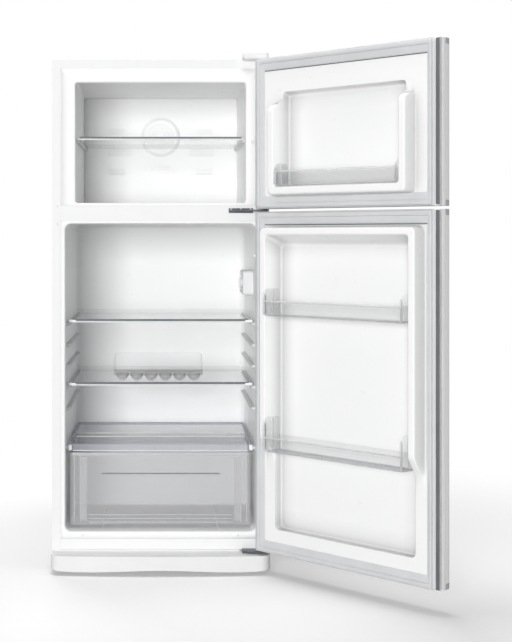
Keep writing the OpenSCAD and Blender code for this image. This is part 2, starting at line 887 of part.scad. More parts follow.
module air_panel() {
    edge = rest_gap;
    color("white") difference() {
        union() {
            intersection() {
                freezer_room(-edge, 0);
                span([-half_w, half_w], [air_panel_y, air_panel_y + 3], [0, big]);
            }
            intersection() {
                difference() {
                    freezer_room(-edge, 0);
                    freezer_room(-edge - 2, 0);
                }
                span([-half_w, half_w], [air_panel_y, air_panel_y + 22], [0, big]);
            }
            fan_cowl(0);
        }
        fan_cowl(2.5);
        translate([0, air_panel_y, fan_z]) rotate([-90, 0, 0]) cylinder(r = fan_r + 4, h = 8);
        translate([0, air_panel_y - 30, fan_z]) fan_grille();
        for (row = air_slots, side = [-1, 1], i = [0:row[3] - 1]) {
            translate([side * row[1], 0, freezer_z0 + row[0] - i * 8])
                along_y(air_panel_y - 1, air_panel_y + 8)
                    round_box([-row[2] / 2, row[2] / 2], [-2, 2], 1.9);
        }
        for (i = [0:2]) {
            translate([0, 0, freezer_z0 + freezer_h - 240 - i * 8])
                along_y(air_panel_y - 1, air_panel_y + 8) round_box([-34, 34], [-2, 2], 1.9);
        }
    }
}

// The raised cowl in front of the fan.
module fan_cowl(inset) {
    translate([0, air_panel_y + 1, fan_z]) rotate([90, 0, 0])
        cylinder(r1 = fan_r + 22 - inset, r2 = fan_r + 10 - inset, h = 13 - inset);
}

// Ring slots between spokes, cut through the cowl's face.
module fan_grille() {
    rotate([-90, 0, 0]) for (ring = [0:2]) {
        difference() {
            cylinder(r = 18 + ring * 13 + 4, h = 40);
            translate([0, 0, -1]) cylinder(r = 18 + ring * 13 - 4, h = 42);
            for (a = [0:60:300]) rotate([0, 0, a]) translate([0, -2, -1]) cube([big, 4, 42]);
        }
    }
}

module fan_place() {
    translate([0, fan_back_y, fan_z]) rotate([-90, 0, 0]) children();
}

// The fan's motor and the bracket that holds it to the compartment's back.
module fan_motor() {
    color("dimgray") fan_place() {
        translate([0, 0, 18]) cylinder(r = 24, h = 34);
        translate([0, 0, -6]) cylinder(r = shaft_r, h = 26);
        translate([0, 0, 50]) linear_extrude(inner_d - fan_back_y - 50 - rest_gap)
            round_box([-70, 70], [-14, 14], 5);
    }
}

// A hub with five pitched blades.
module fan() {
    color("white") fan_place() {
        difference() {
            translate([0, 0, -6]) cylinder(r = 14, h = 20);
            translate([0, 0, -7]) cylinder(r = shaft_r + pin_gap, h = 30);
        }
        intersection() {
            for (a = [0:72:288]) {
                rotate([0, 0, a]) translate([12, 0, 4]) rotate([34, 0, 0])
                    translate([0, -11, -0.8]) cube([fan_r, 22, 1.6]);
            }
            difference() {
                translate([0, 0, -6]) cylinder(r = fan_r, h = 20);
                translate([0, 0, -7]) cylinder(r = 13, h = 30);
            }
        }
    }
}

// The freezer's shelf: a clear plate in a moulded front rim.
module freezer_shelf() {
    x1 = freezer_half - 2.5;
    y0 = freezer_shelf_y;
    z = freezer_shelf_z + rest_gap;
    color("lightgray") {
        span([-x1, x1], [y0 + 6, air_panel_y - 16], [z, z + glass_t]);
        along_x(-x1, x1)
            polygon(concat(
                [[y0 + 12, z], [y0 + 12, z + 8]],
                arc(y0 + 5, z + 5, 5, 90, 270)
            ));
        for (side = [-1, 1]) {
            span([side * (x1 - 5) - 5, side * (x1 - 5) + 5], [y0 + 12 - eps, air_panel_y - 16],
                [z, z + glass_t + 2]);
        }
        span([-x1, x1], [air_panel_y - 26, air_panel_y - 16], [z, z + 14]);
    }
}

// ---------------------------------------------------------------- fridge inside

module shelf_glass(z) {
    color("lightcyan", 0.5)
        span([-shelf_half + 5, shelf_half - 5], [shelf_y + 5, shelf_y + shelf_d - 5],
            [z + 1.5, z + 1.5 + glass_t]);
}

// A moulded frame round a glass shelf: a front bumper, side strips and a rear upstand.
module shelf_trim(z) {
    grip_z = z + 1.5 + glass_t;
    rim = 9;
    y1 = shelf_y + shelf_d;
    color("whitesmoke") difference() {
        union() {
            along_x(-shelf_half, shelf_half)
                polygon(concat(
                    [[shelf_y + trim_d, z], [shelf_y + trim_d, grip_z + 1.5]],
                    arc(shelf_y + 4, z + trim_h - 7, 4, 90, 180),
                    arc(shelf_y + 4, z + 4, 4, 180, 270)
                ));
            for (side = [-1, 1]) {
                span([side * (shelf_half - rim / 2) - rim / 2, side * (shelf_half - rim / 2) + rim / 2],
                    [shelf_y + 2, y1], [z, grip_z + 1.5]);
            }
            span([-shelf_half, shelf_half], [y1 - rim, y1], [z, grip_z + 12]);
            for (side = [-1, 1]) {
                span([side * (shelf_half - 12) - 12, side * (shelf_half - 12) + 12],
                    [shelf_y - 1, shelf_y + 15], [z, z + trim_h - 2]);
            }
        }
        span([-shelf_half + 5, shelf_half - 5], [shelf_y + 5, y1 - 5], [z + 1.5, z + 1.5 + glass_t]);
    }
}

module upper_shelf_glass() { shelf_glass(upper_shelf_z); }
module upper_shelf_trim() { shelf_trim(upper_shelf_z); }
module lower_shelf_glass() { shelf_glass(lower_shelf_z); }
module lower_shelf_trim() { shelf_trim(lower_shelf_z); }

// The translucent cover over the drawer: a ribbed plate with a deep front fascia.
module drawer_cover() {
    y1 = cover_y + cover_d;
    z1 = cover_z;
    low = drawer_z + drawer_h + 2;
    color("lightsteelblue", 0.6) {
        span([-cover_half, cover_half], [cover_y, y1], [z1 - 3, z1]);
        for (side = [-1, 1]) {
            span([side * (cover_half - 6) - 6, side * (cover_half - 6) + 6], [cover_y, y1],
                [cover_ledge_z, z1 - 3 + eps]);
        }
        span([-cover_half + 14, cover_half - 14], [cover_y, cover_y + 3], [low, z1 - 3 + eps]);
        for (y = [cover_y + 120, cover_y + 240, cover_y + 360, y1 - 3]) {
            span([-cover_half + 14, cover_half - 14], [y, y + 3], [cover_ledge_z + 1, z1 - 3 + eps]);
        }
        for (y = cover_rib_y) {
            span([-cover_half + 12, cover_half - 12], [y, y + 5], [z1 - eps, z1 + 2]);
        }
    }
}

// The drawer's side view: upright front, back leaning with the step.
module drawer_side(inset, rise) {
    z1 = drawer_z + drawer_h;
    y1 = drawer_y + drawer_bottom_d;
    lean = step_lean * drawer_h / (step_z - fridge_z0);
    r = 12 - inset;
    polygon(concat(
        [[drawer_y + inset, z1 + rise]],
        arc(drawer_y + 6 + inset + r, drawer_z + inset + r, r, 180, 270),
        arc(y1 - inset - r, drawer_z + inset + r, r, 270, 350),
        [[y1 + lean - inset, z1 + rise]]
    ));
}

module drawer_form(inset, rise) {
    intersection() {
        along_x(-drawer_half + inset, drawer_half - inset) drawer_side(inset, rise);
        along_z(0, big)
            round_box([-drawer_half + inset, drawer_half - inset],
                [drawer_y + inset, drawer_y + drawer_bottom_d + step_lean + 12], 16 - inset);
    }
}

// The clear vegetable drawer, with a finger groove, corner beads and three ribs across its foot.
module vegetable_drawer() {
    z1 = drawer_z + drawer_h;
    color("lightsteelblue", 0.5) {
        difference() {
            union() {
                difference() {
                    drawer_form(0, 0);
                    drawer_form(clear_t, 5);
                }
                intersection() {
                    drawer_form(0, 0);
                    groove_box(clear_t);
                }
            }
            groove_box(0);
        }
        difference() {
            intersection() {
                span([-drawer_half + 2, drawer_half - 2], [0, big], [z1 - 6, z1]);
                drawer_form(0, 0);
            }
            drawer_form(7, 5);
        }
        for (side = [-1, 1], dx = [18, 36]) {
            x = side * (drawer_half - dx);
            along_z(drawer_z + 34, z1 - 8)
                translate([x, drawer_y + 4.5]) circle(3.6);
        }
        for (i = [0:2]) {
            translate([-drawer_half + 60, drawer_y + 6.2, drawer_z + 18 + i * 11]) rotate([0, 90, 0])
                cylinder(r = 2.2, h = 2 * drawer_half - 120);
        }
    }
}

// The pocket that fingers reach into, along the drawer's front.
module groove_box(grow) {
    span([-groove_half - grow, groove_half + grow], [drawer_y - 5, drawer_y + 14 + grow],
        [groove_z - groove_h / 2 - grow, groove_z + groove_h / 2 + grow]);
}

// The egg tray: two rows of round cups hung from a deck, inside a rim that rises towards the back.
module egg_tray() {
    z0 = lower_shelf_z + 1.5 + glass_t + rest_gap;
    h = egg_back_h;
    cup = 21;
    deck = cup + 2;
    pitch = 48;
    columns = 6;
    color("aliceblue", 0.6) translate([egg_x, egg_y, z0]) {
        difference() {
            union() {
                translate([0, 0, deck - 2]) linear_extrude(h - deck + 2) difference() {
                    egg_outline(0);
                    egg_outline(clear_t);
                }
                translate([0, 0, deck - 2]) linear_extrude(2) egg_outline(1);
                egg_places(columns, pitch) translate([0, 0, deck]) sphere(cup + 2);
            }
            egg_places(columns, pitch) translate([0, 0, deck]) sphere(cup);
            translate([0, 0, deck]) linear_extrude(h) egg_outline(clear_t);
            along_x(-egg_half_w - 1, egg_half_w + 1)
                polygon([
                    [-egg_half_d - 1, egg_front_h], [egg_half_d + 1, egg_back_h],
                    [egg_half_d + 1, egg_back_h + 20], [-egg_half_d - 1, egg_back_h + 20]
                ]);
        }
    }
}

module egg_outline(inset) {
    round_box([-egg_half_w + inset, egg_half_w - inset], [-egg_half_d + inset, egg_half_d - inset], 14 - inset);
}

module egg_places(columns, pitch) {
    for (i = [0:columns - 1], row = [-1, 1]) {
        translate([(i - (columns - 1) / 2) * pitch, row * 25, 0]) children();
    }
}

// ---------------------------------------------------------------- controls

control_z = 920;
control_y = 130;
control_out = 34;
knob_r = 17;

// The housing of the lamp and the temperature control on the fridge's side wall.
module control_box() {
    x0 = fridge_half - control_out;
    color("white") difference() {
        intersection() {
            along_x(x0, fridge_half - rest_gap)
                round_box([control_y, control_y + 190], [control_z - 42, control_z + 42], 14);
            along_y(0, big)
                polygon(concat(
                    [[fridge_half, control_z - 50], [fridge_half, control_z + 50]],
                    arc(x0 + 12, control_z + 30, 12, 90, 180),
                    arc(x0 + 12, control_z - 30, 12, 180, 270)
                ));
        }
        along_x(x0 - 5, x0 + control_out - 8)
            round_box([control_y + 76, control_y + 178], [control_z - 30, control_z + 30], 8);
        translate([x0 - 1, control_y + 38, control_z]) rotate([0, 90, 0]) {
            cylinder(r = 3.5 + pin_gap, h = 18);
            cylinder(r = knob_r + 1.5, h = 3);
        }
    }
}

// The temperature dial, with a raised finger bar.
module control_knob() {
    x0 = fridge_half - control_out;
    color("gainsboro") translate([x0 + 1.5, control_y + 38, control_z]) rotate([0, -90, 0]) {
        cylinder(r = knob_r, h = 9);
        translate([0, 0, 9 - eps]) linear_extrude(5) round_box([-15, 15], [-3.5, 3.5], 3);
        translate([0, 0, -12]) cylinder(r = 3.5, h = 13);
    }
}

// The lamp's bulb and holder.
module lamp() {
    x = fridge_half - 19;
    color("ivory") translate([x, control_y + 84, control_z]) {
        rotate([-90, 0, 0]) cylinder(r = 9, h = 24);
        translate([0, 24 - eps, 0]) rotate([-90, 0, 0]) cylinder(r = 7, h = 34);
        translate([0, 62, 0]) sphere(10);
        translate([0, -8 + eps, 0]) rotate([-90, 0, 0]) cylinder(r = 6, h = 8);
    }
}

fan_switch_x = half_w - 54;
fan_switch_z = freezer_z0 + 196;
light_switch_y = 30;
light_switch_z = control_z + 92;
plunger_r = 5;
plunger_bore_r = plunger_r + 0.3;

// A switch's plunger along +Z, with the collar that stops it under the liner; out is how far it stands out.
module plunger(out) {
    translate([0, 0, -out]) cylinder(r = plunger_r, h = out + 12);
    translate([0, 0, liner_t + rest_gap]) cylinder(r = plunger_r + 2, h = 1.5);
}

// The room behind a liner that a plunger runs in.
module plunger_room() {
    translate([0, 0, -1]) cylinder(r = plunger_bore_r, h = 26);
    translate([0, 0, liner_t - 1]) cylinder(r = plunger_r + 2 + rest_gap, h = 15);
}

module at_fan_switch() {
    translate([fan_switch_x, 0, fan_switch_z]) rotate([-90, 0, 0]) children();
}

module at_light_switch() {
    translate([fridge_half, light_switch_y, light_switch_z]) rotate([0, 90, 0]) children();
}

// The fan switch's plunger, pushed in by the freezer door.
module fan_switch() {
    color("gainsboro") at_fan_switch() plunger(door_gap - 0.6);
}

// The light switch's plunger, in the fridge's side wall beside the door's ridge.
module light_switch() {
    color("gainsboro") at_light_switch() plunger(6);
}

// ---------------------------------------------------------------- hinges

hinge_t = 4;
arm_z = split_z - hinge_t / 2;
low_arm_t = 5;
low_arm_z = fridge_door_z0 - 2.2 - low_arm_t;
pin_reach = 14;
top_plate_z = cab_h;

// A flat hinge arm seen from above, from the cabinet to the pin.
module arm_plan(x0, y1, r) {
    translate([x0, pin_y]) square([pin_x - x0, y1 - pin_y]);
    translate([x0 + 16, pin_y - r]) square([pin_x - x0 - 16, r + 2]);
    translate([pin_x - 2, pin_y]) square([r + 2, y1 - pin_y]);
    translate([pin_x, pin_y]) circle(r);
}

module hinge_pin(z0, z1) {
    translate([pin_x, pin_y, z0]) cylinder(r = pin_r, h = z1 - z0);
}

// The shoulder that a door's cap turns on.
module hinge_collar(z0, z1) {
    translate([pin_x, pin_y, z0]) cylinder(r = pin_r + 4, h = z1 - z0);
}

// The hinge between the doors: a face plate, a forward arm and one pin for both doors.
module middle_hinge() {
    color("darkslategray") {
        difference() {
            union() {
                span([pin_x - 112, pin_x - 34], [-3, 0],
                    [fridge_door_z1 - gasket_bulb_end + 0.8, freezer_door_z0 + gasket_bulb_end - 0.8]);
                along_z(arm_z, arm_z + hinge_t) arm_plan(pin_x - 92, -0.2, 10);
            }
            for (x = [pin_x - 104, pin_x - 73, pin_x - 42]) {
                translate([x, -5, split_z + 4.5]) rotate([-90, 0, 0]) cylinder(r = 2.2, h = 10);
            }
        }
        hinge_pin(arm_z - pin_reach, arm_z + hinge_t + pin_reach);
        hinge_collar(fridge_door_z1 + rest_gap, arm_z + eps);
        hinge_collar(arm_z + hinge_t - eps, freezer_door_z0 - rest_gap);
    }
}

module bottom_hinge() {
    color("darkslategray") {
        along_z(low_arm_z, low_arm_z + low_arm_t) arm_plan(pin_x - 70, -0.2, 11);
        span([pin_x - 70, pin_x + 10], [-3.2, -0.2], [low_arm_z - 16, low_arm_z + low_arm_t]);
        hinge_pin(low_arm_z, low_arm_z + 20);
        hinge_collar(low_arm_z + low_arm_t - eps, fridge_door_z0 - rest_gap);
    }
}

module top_hinge() {
    color("darkslategray") difference() {
        union() {
            along_z(top_plate_z, top_plate_z + 3) {
                arm_plan(pin_x - 62, 10, 10);
                translate([pin_x - 62, 8]) square([62 + 8, 62]);
            }
            hinge_pin(top_plate_z - 17, top_plate_z + 3);
            hinge_collar(freezer_door_z1 + rest_gap, top_plate_z + eps);
        }
        for (p = [[-48, 24], [-10, 24], [-29, 54]]) {
            translate([pin_x + p[0], p[1], top_plate_z - 1]) cylinder(r = 2.6, h = 10);
        }
    }
}

// The plastic box over the top hinge.
module top_hinge_cover() {
    x = [pin_x - 68, pin_x + 13];
    y = [pin_y - 14, 78];
    z = top_plate_z + rest_gap;
    color("white") difference() {
        along_z(z, z + 16) round_box(x, y, 8);
        along_z(z - 1, z + 14) round_box([x[0] + 2, x[1] - 2], [y[0] + 2, y[1] - 2], 6);
    }
}

// ---------------------------------------------------------------- doors

// A door from above: square inner edges and two round front edges.
module door_plan(inset) {
    mirror([0, 1])
        end_round([-half_w + inset, half_w - inset], [door_gap + liner_t, -door_out_y - inset],
            door_r - inset);
}

// The corner of a door that the finger channel and its lip take up.
module grip_room() {
    translate([-half_w - 1, lip_y0 - eps]) square([lip_deep + 1, lip_w + 1]);
    translate([-half_w - 1, grip_y0 - grip_wall]) square([grip_deep + 1 + grip_wall, big]);
}

// The wrapped steel front of a door, from its finger channel round to the hinge edge.
module door_skin(z0, z1) {
    color("white")
        along_z(z0 + cap_h, z1 - cap_h) difference() {
            door_plan(0);
            door_plan(sheet);
            grip_room();
            translate([-half_w + sheet, door_liner_y - sheet]) square([cab_w - 2 * sheet, 10]);
        }
}

// The moulded end caps, each with a bore for a hinge bush.
module door_caps(z0, z1) {
    color("lightgray")
        for (z = [z0, z1 - cap_h]) {
            difference() {
                along_z(z, z + cap_h) difference() {
                    door_plan(0);
                    grip_room();
                }
                translate([pin_x, pin_y, z - 1]) cylinder(r = pin_bore_r, h = cap_h + 2);
            }
        }
}

// The dark finger channel and the white lip in front of it, over the door's full height.
module door_grip(z0, z1) {
    color("dimgray")
        along_z(z0, z1) {
            difference() {
                translate([-half_w, grip_y0 - grip_wall])
                    square([grip_deep + grip_wall, door_liner_y - grip_y0 + grip_wall]);
                translate([-half_w - 1, grip_y0])
                    square([grip_deep + 1, grip_y1 - grip_y0]);
            }
            translate([-half_w, lip_y0]) square([lip_deep, lip_w - grip_wall + eps]);
        }
}

// A door liner's raised block, before its middle is pressed in.
module ridge_block(x1, z0, z1, taper, inset) {
    top = ridge_top_y - inset;
    r = ridge_r;
    intersection() {
        along_z(z0 - 60, z1 + 60)
            polygon(concat(
                [[x1 - inset, door_liner_y - 2]],
                [[x1 - inset, door_in_y]],
                arc(x1 - ridge_draft - r - inset, top - r, r, 10, 90),
                arc(-x1 + ridge_draft + r + inset, top - r, r, 90, 170),
                [[-x1 + inset, door_in_y]],
                [[-x1 + inset, door_liner_y - 2]]
            ));
        along_x(-x1 - 5, x1 + 5)
            polygon(concat(
                [[door_liner_y - 2, z0 + inset], [door_in_y, z0 + inset]],
                [[top - 8, z0 + taper + inset - 4], [top, z0 + taper + inset + 8]],
                arc(top - 2 * r, z1 - 2 * r - 4 - inset, 2 * r, 0, 80),
                [[door_in_y, z1 - inset], [door_liner_y - 2, z1 - inset]]
            ));
    }
}

// The pressed-in middle of a door liner; its ceiling leans forward.
module panel_hollow(x1, z0, z1, ceiling, inset) {
    out = ridge_top_y + 20;
    inner = x1 - ridge_draft - ridge_land;
    deep = panel_y - inset;
    r = 10;
    intersection() {
        along_z(z0 - 60, z1 + 60)
            polygon(concat(
                [[-inner - inset - 9, out]],
                [[-inner - inset - 1.5, ridge_top_y - 6], [-inner - inset, ridge_top_y - 12]],
                arc(-inner + 5 + r - inset, deep + r, r, 185, 270),
                arc(inner - 5 - r + inset, deep + r, r, -90, -5),
                [[inner + inset, ridge_top_y - 12], [inner + inset + 1.5, ridge_top_y - 6]],
                [[inner + inset + 9, out]]
            ));
        along_x(-x1 - 5, x1 + 5)
            polygon(concat(
                [[out, z0 - inset]],
                arc(deep + r, z0 + r - inset, r, 270, 180),
                arc(deep + 2 * r, z1 - ceiling - 2 * r + inset, 2 * r, 180, 130),
                [[ridge_top_y - 8, z1 + inset - 6], [ridge_top_y, z1 + inset], [out, z1 + inset + 8]]
            ));
    }
}

module fridge_ridges(inset) {
    ridge_block(fridge_ridge_x, fridge_ridge_z0, fridge_ridge_z1, 60, inset);
}

module fridge_hollow(inset) {
    panel_hollow(fridge_ridge_x, fridge_panel_z0, fridge_ridge_z1 - 23, 45, inset);
}

module freezer_ridges(inset) {
    ridge_block(freezer_ridge_x, freezer_ridge_z0, freezer_ridge_z1, 8, inset);
}

module freezer_hollow(inset) {
    panel_hollow(freezer_ridge_x, freezer_panel_z0, freezer_panel_z1, 18, inset);
}

// A sheet over a door's inner face.
module liner_sheet(z0, z1, y0, y1) {
    span([-half_w, half_w], [y0, y1], [z0, z1]);
}

// A vacuum-formed door liner: an even wall that follows the ridges and the hollow.
module fridge_liner_mass(inset) {
    difference() {
        union() {
            span([-fridge_ridge_x - 2, fridge_ridge_x + 2], [panel_y - 8 - inset, door_in_y - inset],
                [fridge_panel_z0 - 12, fridge_ridge_z1 + 4]);
            fridge_ridges(inset);
        }
        fridge_hollow(inset);
    }
}

module freezer_liner_mass(inset) {
    difference() {
        union() {
            span([-freezer_ridge_x - 2, freezer_ridge_x + 2], [panel_y - 8 - inset, door_in_y - inset],
                [freezer_ridge_z0 - 6, freezer_panel_z1 + 12]);
            freezer_ridges(inset);
        }
        freezer_hollow(inset);
    }
}

// A lug under each end of a bin, on the inner walls of the ridges.
module bin_lugs(x1, z) {
    inner = x1 - ridge_draft - ridge_land;
    for (side = [-1, 1]) {
        translate([side * (inner - 6), 0, 0])
            span([side > 0 ? -8 : -4, side > 0 ? 4 : 8], [bin_back_y + 15, bin_back_y + 31],
                [z - 9 - rest_gap, z - rest_gap]);
    }
}

module freezer_door_liner() {
    color("whitesmoke") on_door() {
        difference() {
            union() {
                freezer_liner_mass(0);
                liner_sheet(freezer_door_z0, freezer_door_z1, door_liner_y, door_in_y);
            }
            freezer_liner_mass(liner_t);
            freezer_hollow(0);
        }
    }
}

module fridge_door_liner() {
    color("whitesmoke") on_door() {
        difference() {
            union() {
                fridge_liner_mass(0);
                liner_sheet(fridge_door_z0, fridge_door_z1, door_liner_y, door_in_y);
            }
            fridge_liner_mass(liner_t);
            fridge_hollow(0);
        }
        bin_lugs(fridge_ridge_x, bin_z_high);
        bin_lugs(fridge_ridge_x, bin_z_low);
    }
}

// The door's insulation, between its skin, caps, channel and liner.
module door_core(z0, z1) {
    along_z(z0 + cap_h, z1 - cap_h) difference() {
        door_plan(sheet);
        grip_room();
    }
}

module freezer_door_foam() {
    color("lemonchiffon") on_door() difference() {
        union() {
            door_core(freezer_door_z0, freezer_door_z1);
            freezer_ridges(liner_t);
        }
        freezer_hollow(liner_t);
        hinge_pin_room(freezer_door_z0, freezer_door_z1);
    }
}

module fridge_door_foam() {
    color("lemonchiffon") on_door() difference() {
        union() {
            door_core(fridge_door_z0, fridge_door_z1);
            fridge_ridges(liner_t);
        }
        fridge_hollow(liner_t);
        hinge_pin_room(fridge_door_z0, fridge_door_z1);
    }
}

// Room past the ends of the hinge pins.
module hinge_pin_room(z0, z1) {
    for (z = [z0 + cap_h - 1, z1 - cap_h - 3]) {
        translate([pin_x, pin_y, z]) cylinder(r = pin_bore_r + 1, h = 4);
    }
}

// A magnetic gasket: a wide base with a raised sealing tube, mitred round the door.
module door_gasket(z0, z1) {
    a = gasket_base_in;
    b = gasket_base_in + gasket_base_w;
    color("lightgray") {
        along_y(door_in_y, door_in_y + gasket_base_t) difference() {
            round_box([-half_w + a, half_w - a], [z0 + a - 2, z1 - a + 2], 6);
            round_box([-half_w + b, half_w - b], [z0 + b, z1 - b], 3);
        }
        along_y(door_in_y + gasket_base_t - eps, gasket_face_y) difference() {
            round_box([-half_w + gasket_bulb_side, half_w - gasket_bulb_side],
                [z0 + gasket_bulb_end, z1 - gasket_bulb_end], 6);
            round_box([-half_w + gasket_bulb_side + gasket_bulb_w, half_w - gasket_bulb_side - gasket_bulb_w],
                [z0 + gasket_bulb_end + gasket_bulb_w, z1 - gasket_bulb_end - gasket_bulb_w], 4);
        }
    }
}

// A clear bin: a trough between two taller ends, with a bead along its front.
module door_bin(x1, z, d, end) {
    bin_half = x1 - ridge_draft - ridge_land - 6;
    y0 = bin_back_y;
    color("aliceblue", 0.6) translate([0, 0, z]) {
        difference() {
            along_x(-bin_half, bin_half)
                polygon(concat(
                    [[y0, bin_front], [y0, 6]],
                    arc(y0 + 6, 6, 6, 180, 270),
                    arc(y0 + d - 12, 12, 12, 270, 360),
                    [[y0 + d, bin_front]]
                ));
            along_x(-bin_half + clear_t, bin_half - clear_t)
                polygon(concat(
                    [[y0 + clear_t, bin_front + 5], [y0 + clear_t, 6]],
                    arc(y0 + 6 + clear_t / 4, 6 + clear_t / 2, 4, 180, 270),
                    arc(y0 + d - 12, 12, 12 - clear_t, 270, 360),
                    [[y0 + d - clear_t, bin_front + 5]]
                ));
        }
        for (side = [-1, 1]) {
            x = side * (bin_half - clear_t / 2);
            along_x(x - clear_t / 2, x + clear_t / 2)
                polygon(concat(
                    [[y0, bin_front - 5]],
                    [[y0 + d, bin_front - 5], [y0 + d, bin_front]],
                    arc(y0 + d - 26, end - 26, 22, 20, 80),
                    arc(y0 + 14, end - 14, 14, 90, 180)
                ));
        }
        along_x(-bin_half, bin_half) translate([y0 + d - 2, bin_front]) circle(2.6);
    }
}

module freezer_door_skin() { on_door() door_skin(freezer_door_z0, freezer_door_z1); }
module freezer_door_caps() { on_door() door_caps(freezer_door_z0, freezer_door_z1); }
module freezer_door_grip() { on_door() door_grip(freezer_door_z0, freezer_door_z1); }
module freezer_door_gasket() { on_door() door_gasket(freezer_door_z0, freezer_door_z1); }
module freezer_door_bin() {
    on_door() door_bin(freezer_ridge_x, freezer_bin_z, freezer_bin_d, bin_end * 0.85);
}

module fridge_door_skin() { on_door() door_skin(fridge_door_z0, fridge_door_z1); }
module fridge_door_caps() { on_door() door_caps(fridge_door_z0, fridge_door_z1); }
module fridge_door_grip() { on_door() door_grip(fridge_door_z0, fridge_door_z1); }
module fridge_door_gasket() { on_door() door_gasket(fridge_door_z0, fridge_door_z1); }
module fridge_door_upper_bin() { on_door() door_bin(fridge_ridge_x, bin_z_high, bin_d, bin_end); }
module fridge_door_lower_bin() { on_door() door_bin(fridge_ridge_x, bin_z_low, bin_d, bin_end + low_bin_rise); }

outer_shell();
cabinet_foam();
freezer_liner();
fridge_liner();
divider_bar();
bottom_rail();
deck_panel();
back_panel();
base_frame();
plinth();
left_foot();
right_foot();
left_roller();
right_roller();
roller_axles();
compressor_plate();
compressor_grommets();
compressor();
start_relay();
drain_pan();
condenser_tube();
condenser_wires();
condenser_clips();
cord_gland();
evaporator();
air_panel();
fan_motor();
fan();
freezer_shelf();
upper_shelf_glass();
upper_shelf_trim();
lower_shelf_glass();
lower_shelf_trim();
drawer_cover();
vegetable_drawer();
egg_tray();
control_box();
control_knob();
lamp();
light_switch();
fan_switch();
top_hinge();
top_hinge_cover();
middle_hinge();
bottom_hinge();
freezer_door_skin();
freezer_door_caps();
freezer_door_grip();
freezer_door_foam();
freezer_door_liner();
freezer_door_gasket();
freezer_door_bin();
fridge_door_skin();
fridge_door_caps();
fridge_door_grip();
fridge_door_foam();
fridge_door_liner();
fridge_door_gasket();
fridge_door_upper_bin();
fridge_door_lower_bin();
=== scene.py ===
"""Top freezer refrigerator with both doors open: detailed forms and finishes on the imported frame.

Lengths in this script are millimetres; a mesh is made in metres at the end.
"""

import json
import math

import bmesh
import bpy
import numpy as np
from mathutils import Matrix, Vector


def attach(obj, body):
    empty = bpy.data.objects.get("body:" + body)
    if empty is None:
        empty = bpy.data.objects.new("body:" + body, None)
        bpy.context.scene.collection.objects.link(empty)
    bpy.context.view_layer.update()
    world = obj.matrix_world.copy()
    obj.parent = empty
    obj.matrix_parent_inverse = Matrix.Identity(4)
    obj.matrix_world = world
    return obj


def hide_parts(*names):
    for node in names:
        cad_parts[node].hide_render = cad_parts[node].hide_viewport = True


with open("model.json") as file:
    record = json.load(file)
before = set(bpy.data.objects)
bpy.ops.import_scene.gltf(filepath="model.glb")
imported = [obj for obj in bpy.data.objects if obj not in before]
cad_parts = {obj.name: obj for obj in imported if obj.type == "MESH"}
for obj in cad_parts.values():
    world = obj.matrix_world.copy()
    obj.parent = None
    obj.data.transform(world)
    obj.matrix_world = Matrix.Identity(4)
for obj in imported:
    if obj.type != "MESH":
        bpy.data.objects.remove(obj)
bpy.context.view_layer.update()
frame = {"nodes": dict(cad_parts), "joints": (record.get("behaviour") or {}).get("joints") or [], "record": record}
nodes = frame["nodes"]
slot_of = {s["node"]: s["material_slot"] for s in frame["record"]["subparts"]}
body_of = {n: b for b, ns in frame["record"]["behaviour"]["bodies"].items() for n in ns}

# ---------------------------------------------------------------- camera

lens = bpy.data.cameras.new("camera")
lens.lens = 75.44
lens.sensor_width = 36
lens.sensor_fit = "AUTO"
lens.shift_x = 0.1464
lens.shift_y = -0.1333
lens.clip_end = 50
camera = bpy.data.objects.new("camera", lens)
camera.location = (0.0048, -4.340, 1.079)
camera.rotation_euler = (math.pi / 2, 0, 0)
bpy.context.scene.collection.objects.link(camera)
bpy.context.scene.camera = camera

# ---------------------------------------------------------------- lights and floor


def lamp_panel(name, place, aim, size, power):
    """A square soft lamp of a size in metres at a place, turned towards a point.

    It is left out of reflections, so that its highlight doesn't wash out the pale enamel.
    """
    data = bpy.data.lights.new(name, "AREA")
    data.shape = "SQUARE"
    data.size = size
    data.energy = power
    lamp = bpy.data.objects.new(name, data)
    lamp.location = place
    lamp.visible_glossy = False
    way = Vector(aim) - Vector(place)
    lamp.rotation_euler = way.to_track_quat("-Z", "Y").to_euler()
    bpy.context.scene.collection.objects.link(lamp)


white = (1, 1, 1, 1)
room_light = 0.14  # strength of the world as a light
floor_half = 9  # metres
floor_fades = (1.1, 2.4)  # metres: its own tone fades to plain white between these distances

lamp_panel("front_lamp", (-1.9, -9.6, 1.7), (0.1, 0, 0.9), 3.2, 760)
lamp_panel("top_lamp", (0.0, 0.1, 4.6), (0.1, -0.3, 0), 1.8, 84)
lamp_panel("back_lamp", (-1.6, 4.6, 2.2), (0, 0.6, 0.9), 2.6, 125)


def adder(tree):
    """A function that adds a shader node, links or sets its inputs, and returns it."""

    def add(kind, links=None, **settings):
        """A node of a kind; links holds a socket or a plain value for each of its inputs."""
        n = tree.nodes.new("ShaderNode" + kind)
        for key, value in settings.items():
            setattr(n, key, value)
        for socket, value in (links or {}).items():
            if isinstance(value, bpy.types.NodeSocket):
                tree.links.new(value, n.inputs[socket])
            else:
                n.inputs[socket].default_value = value
        return n

    return add


def seen_ray(add):
    """1 for camera, glossy and transmission rays, 0 for the rays that light things."""
    path = add("LightPath")
    seen = path.outputs["Is Camera Ray"]
    for kind in ("Is Glossy Ray", "Is Transmission Ray"):
        seen = add("Math", {0: seen, 1: path.outputs[kind]}, operation="MAXIMUM").outputs[0]
    return seen


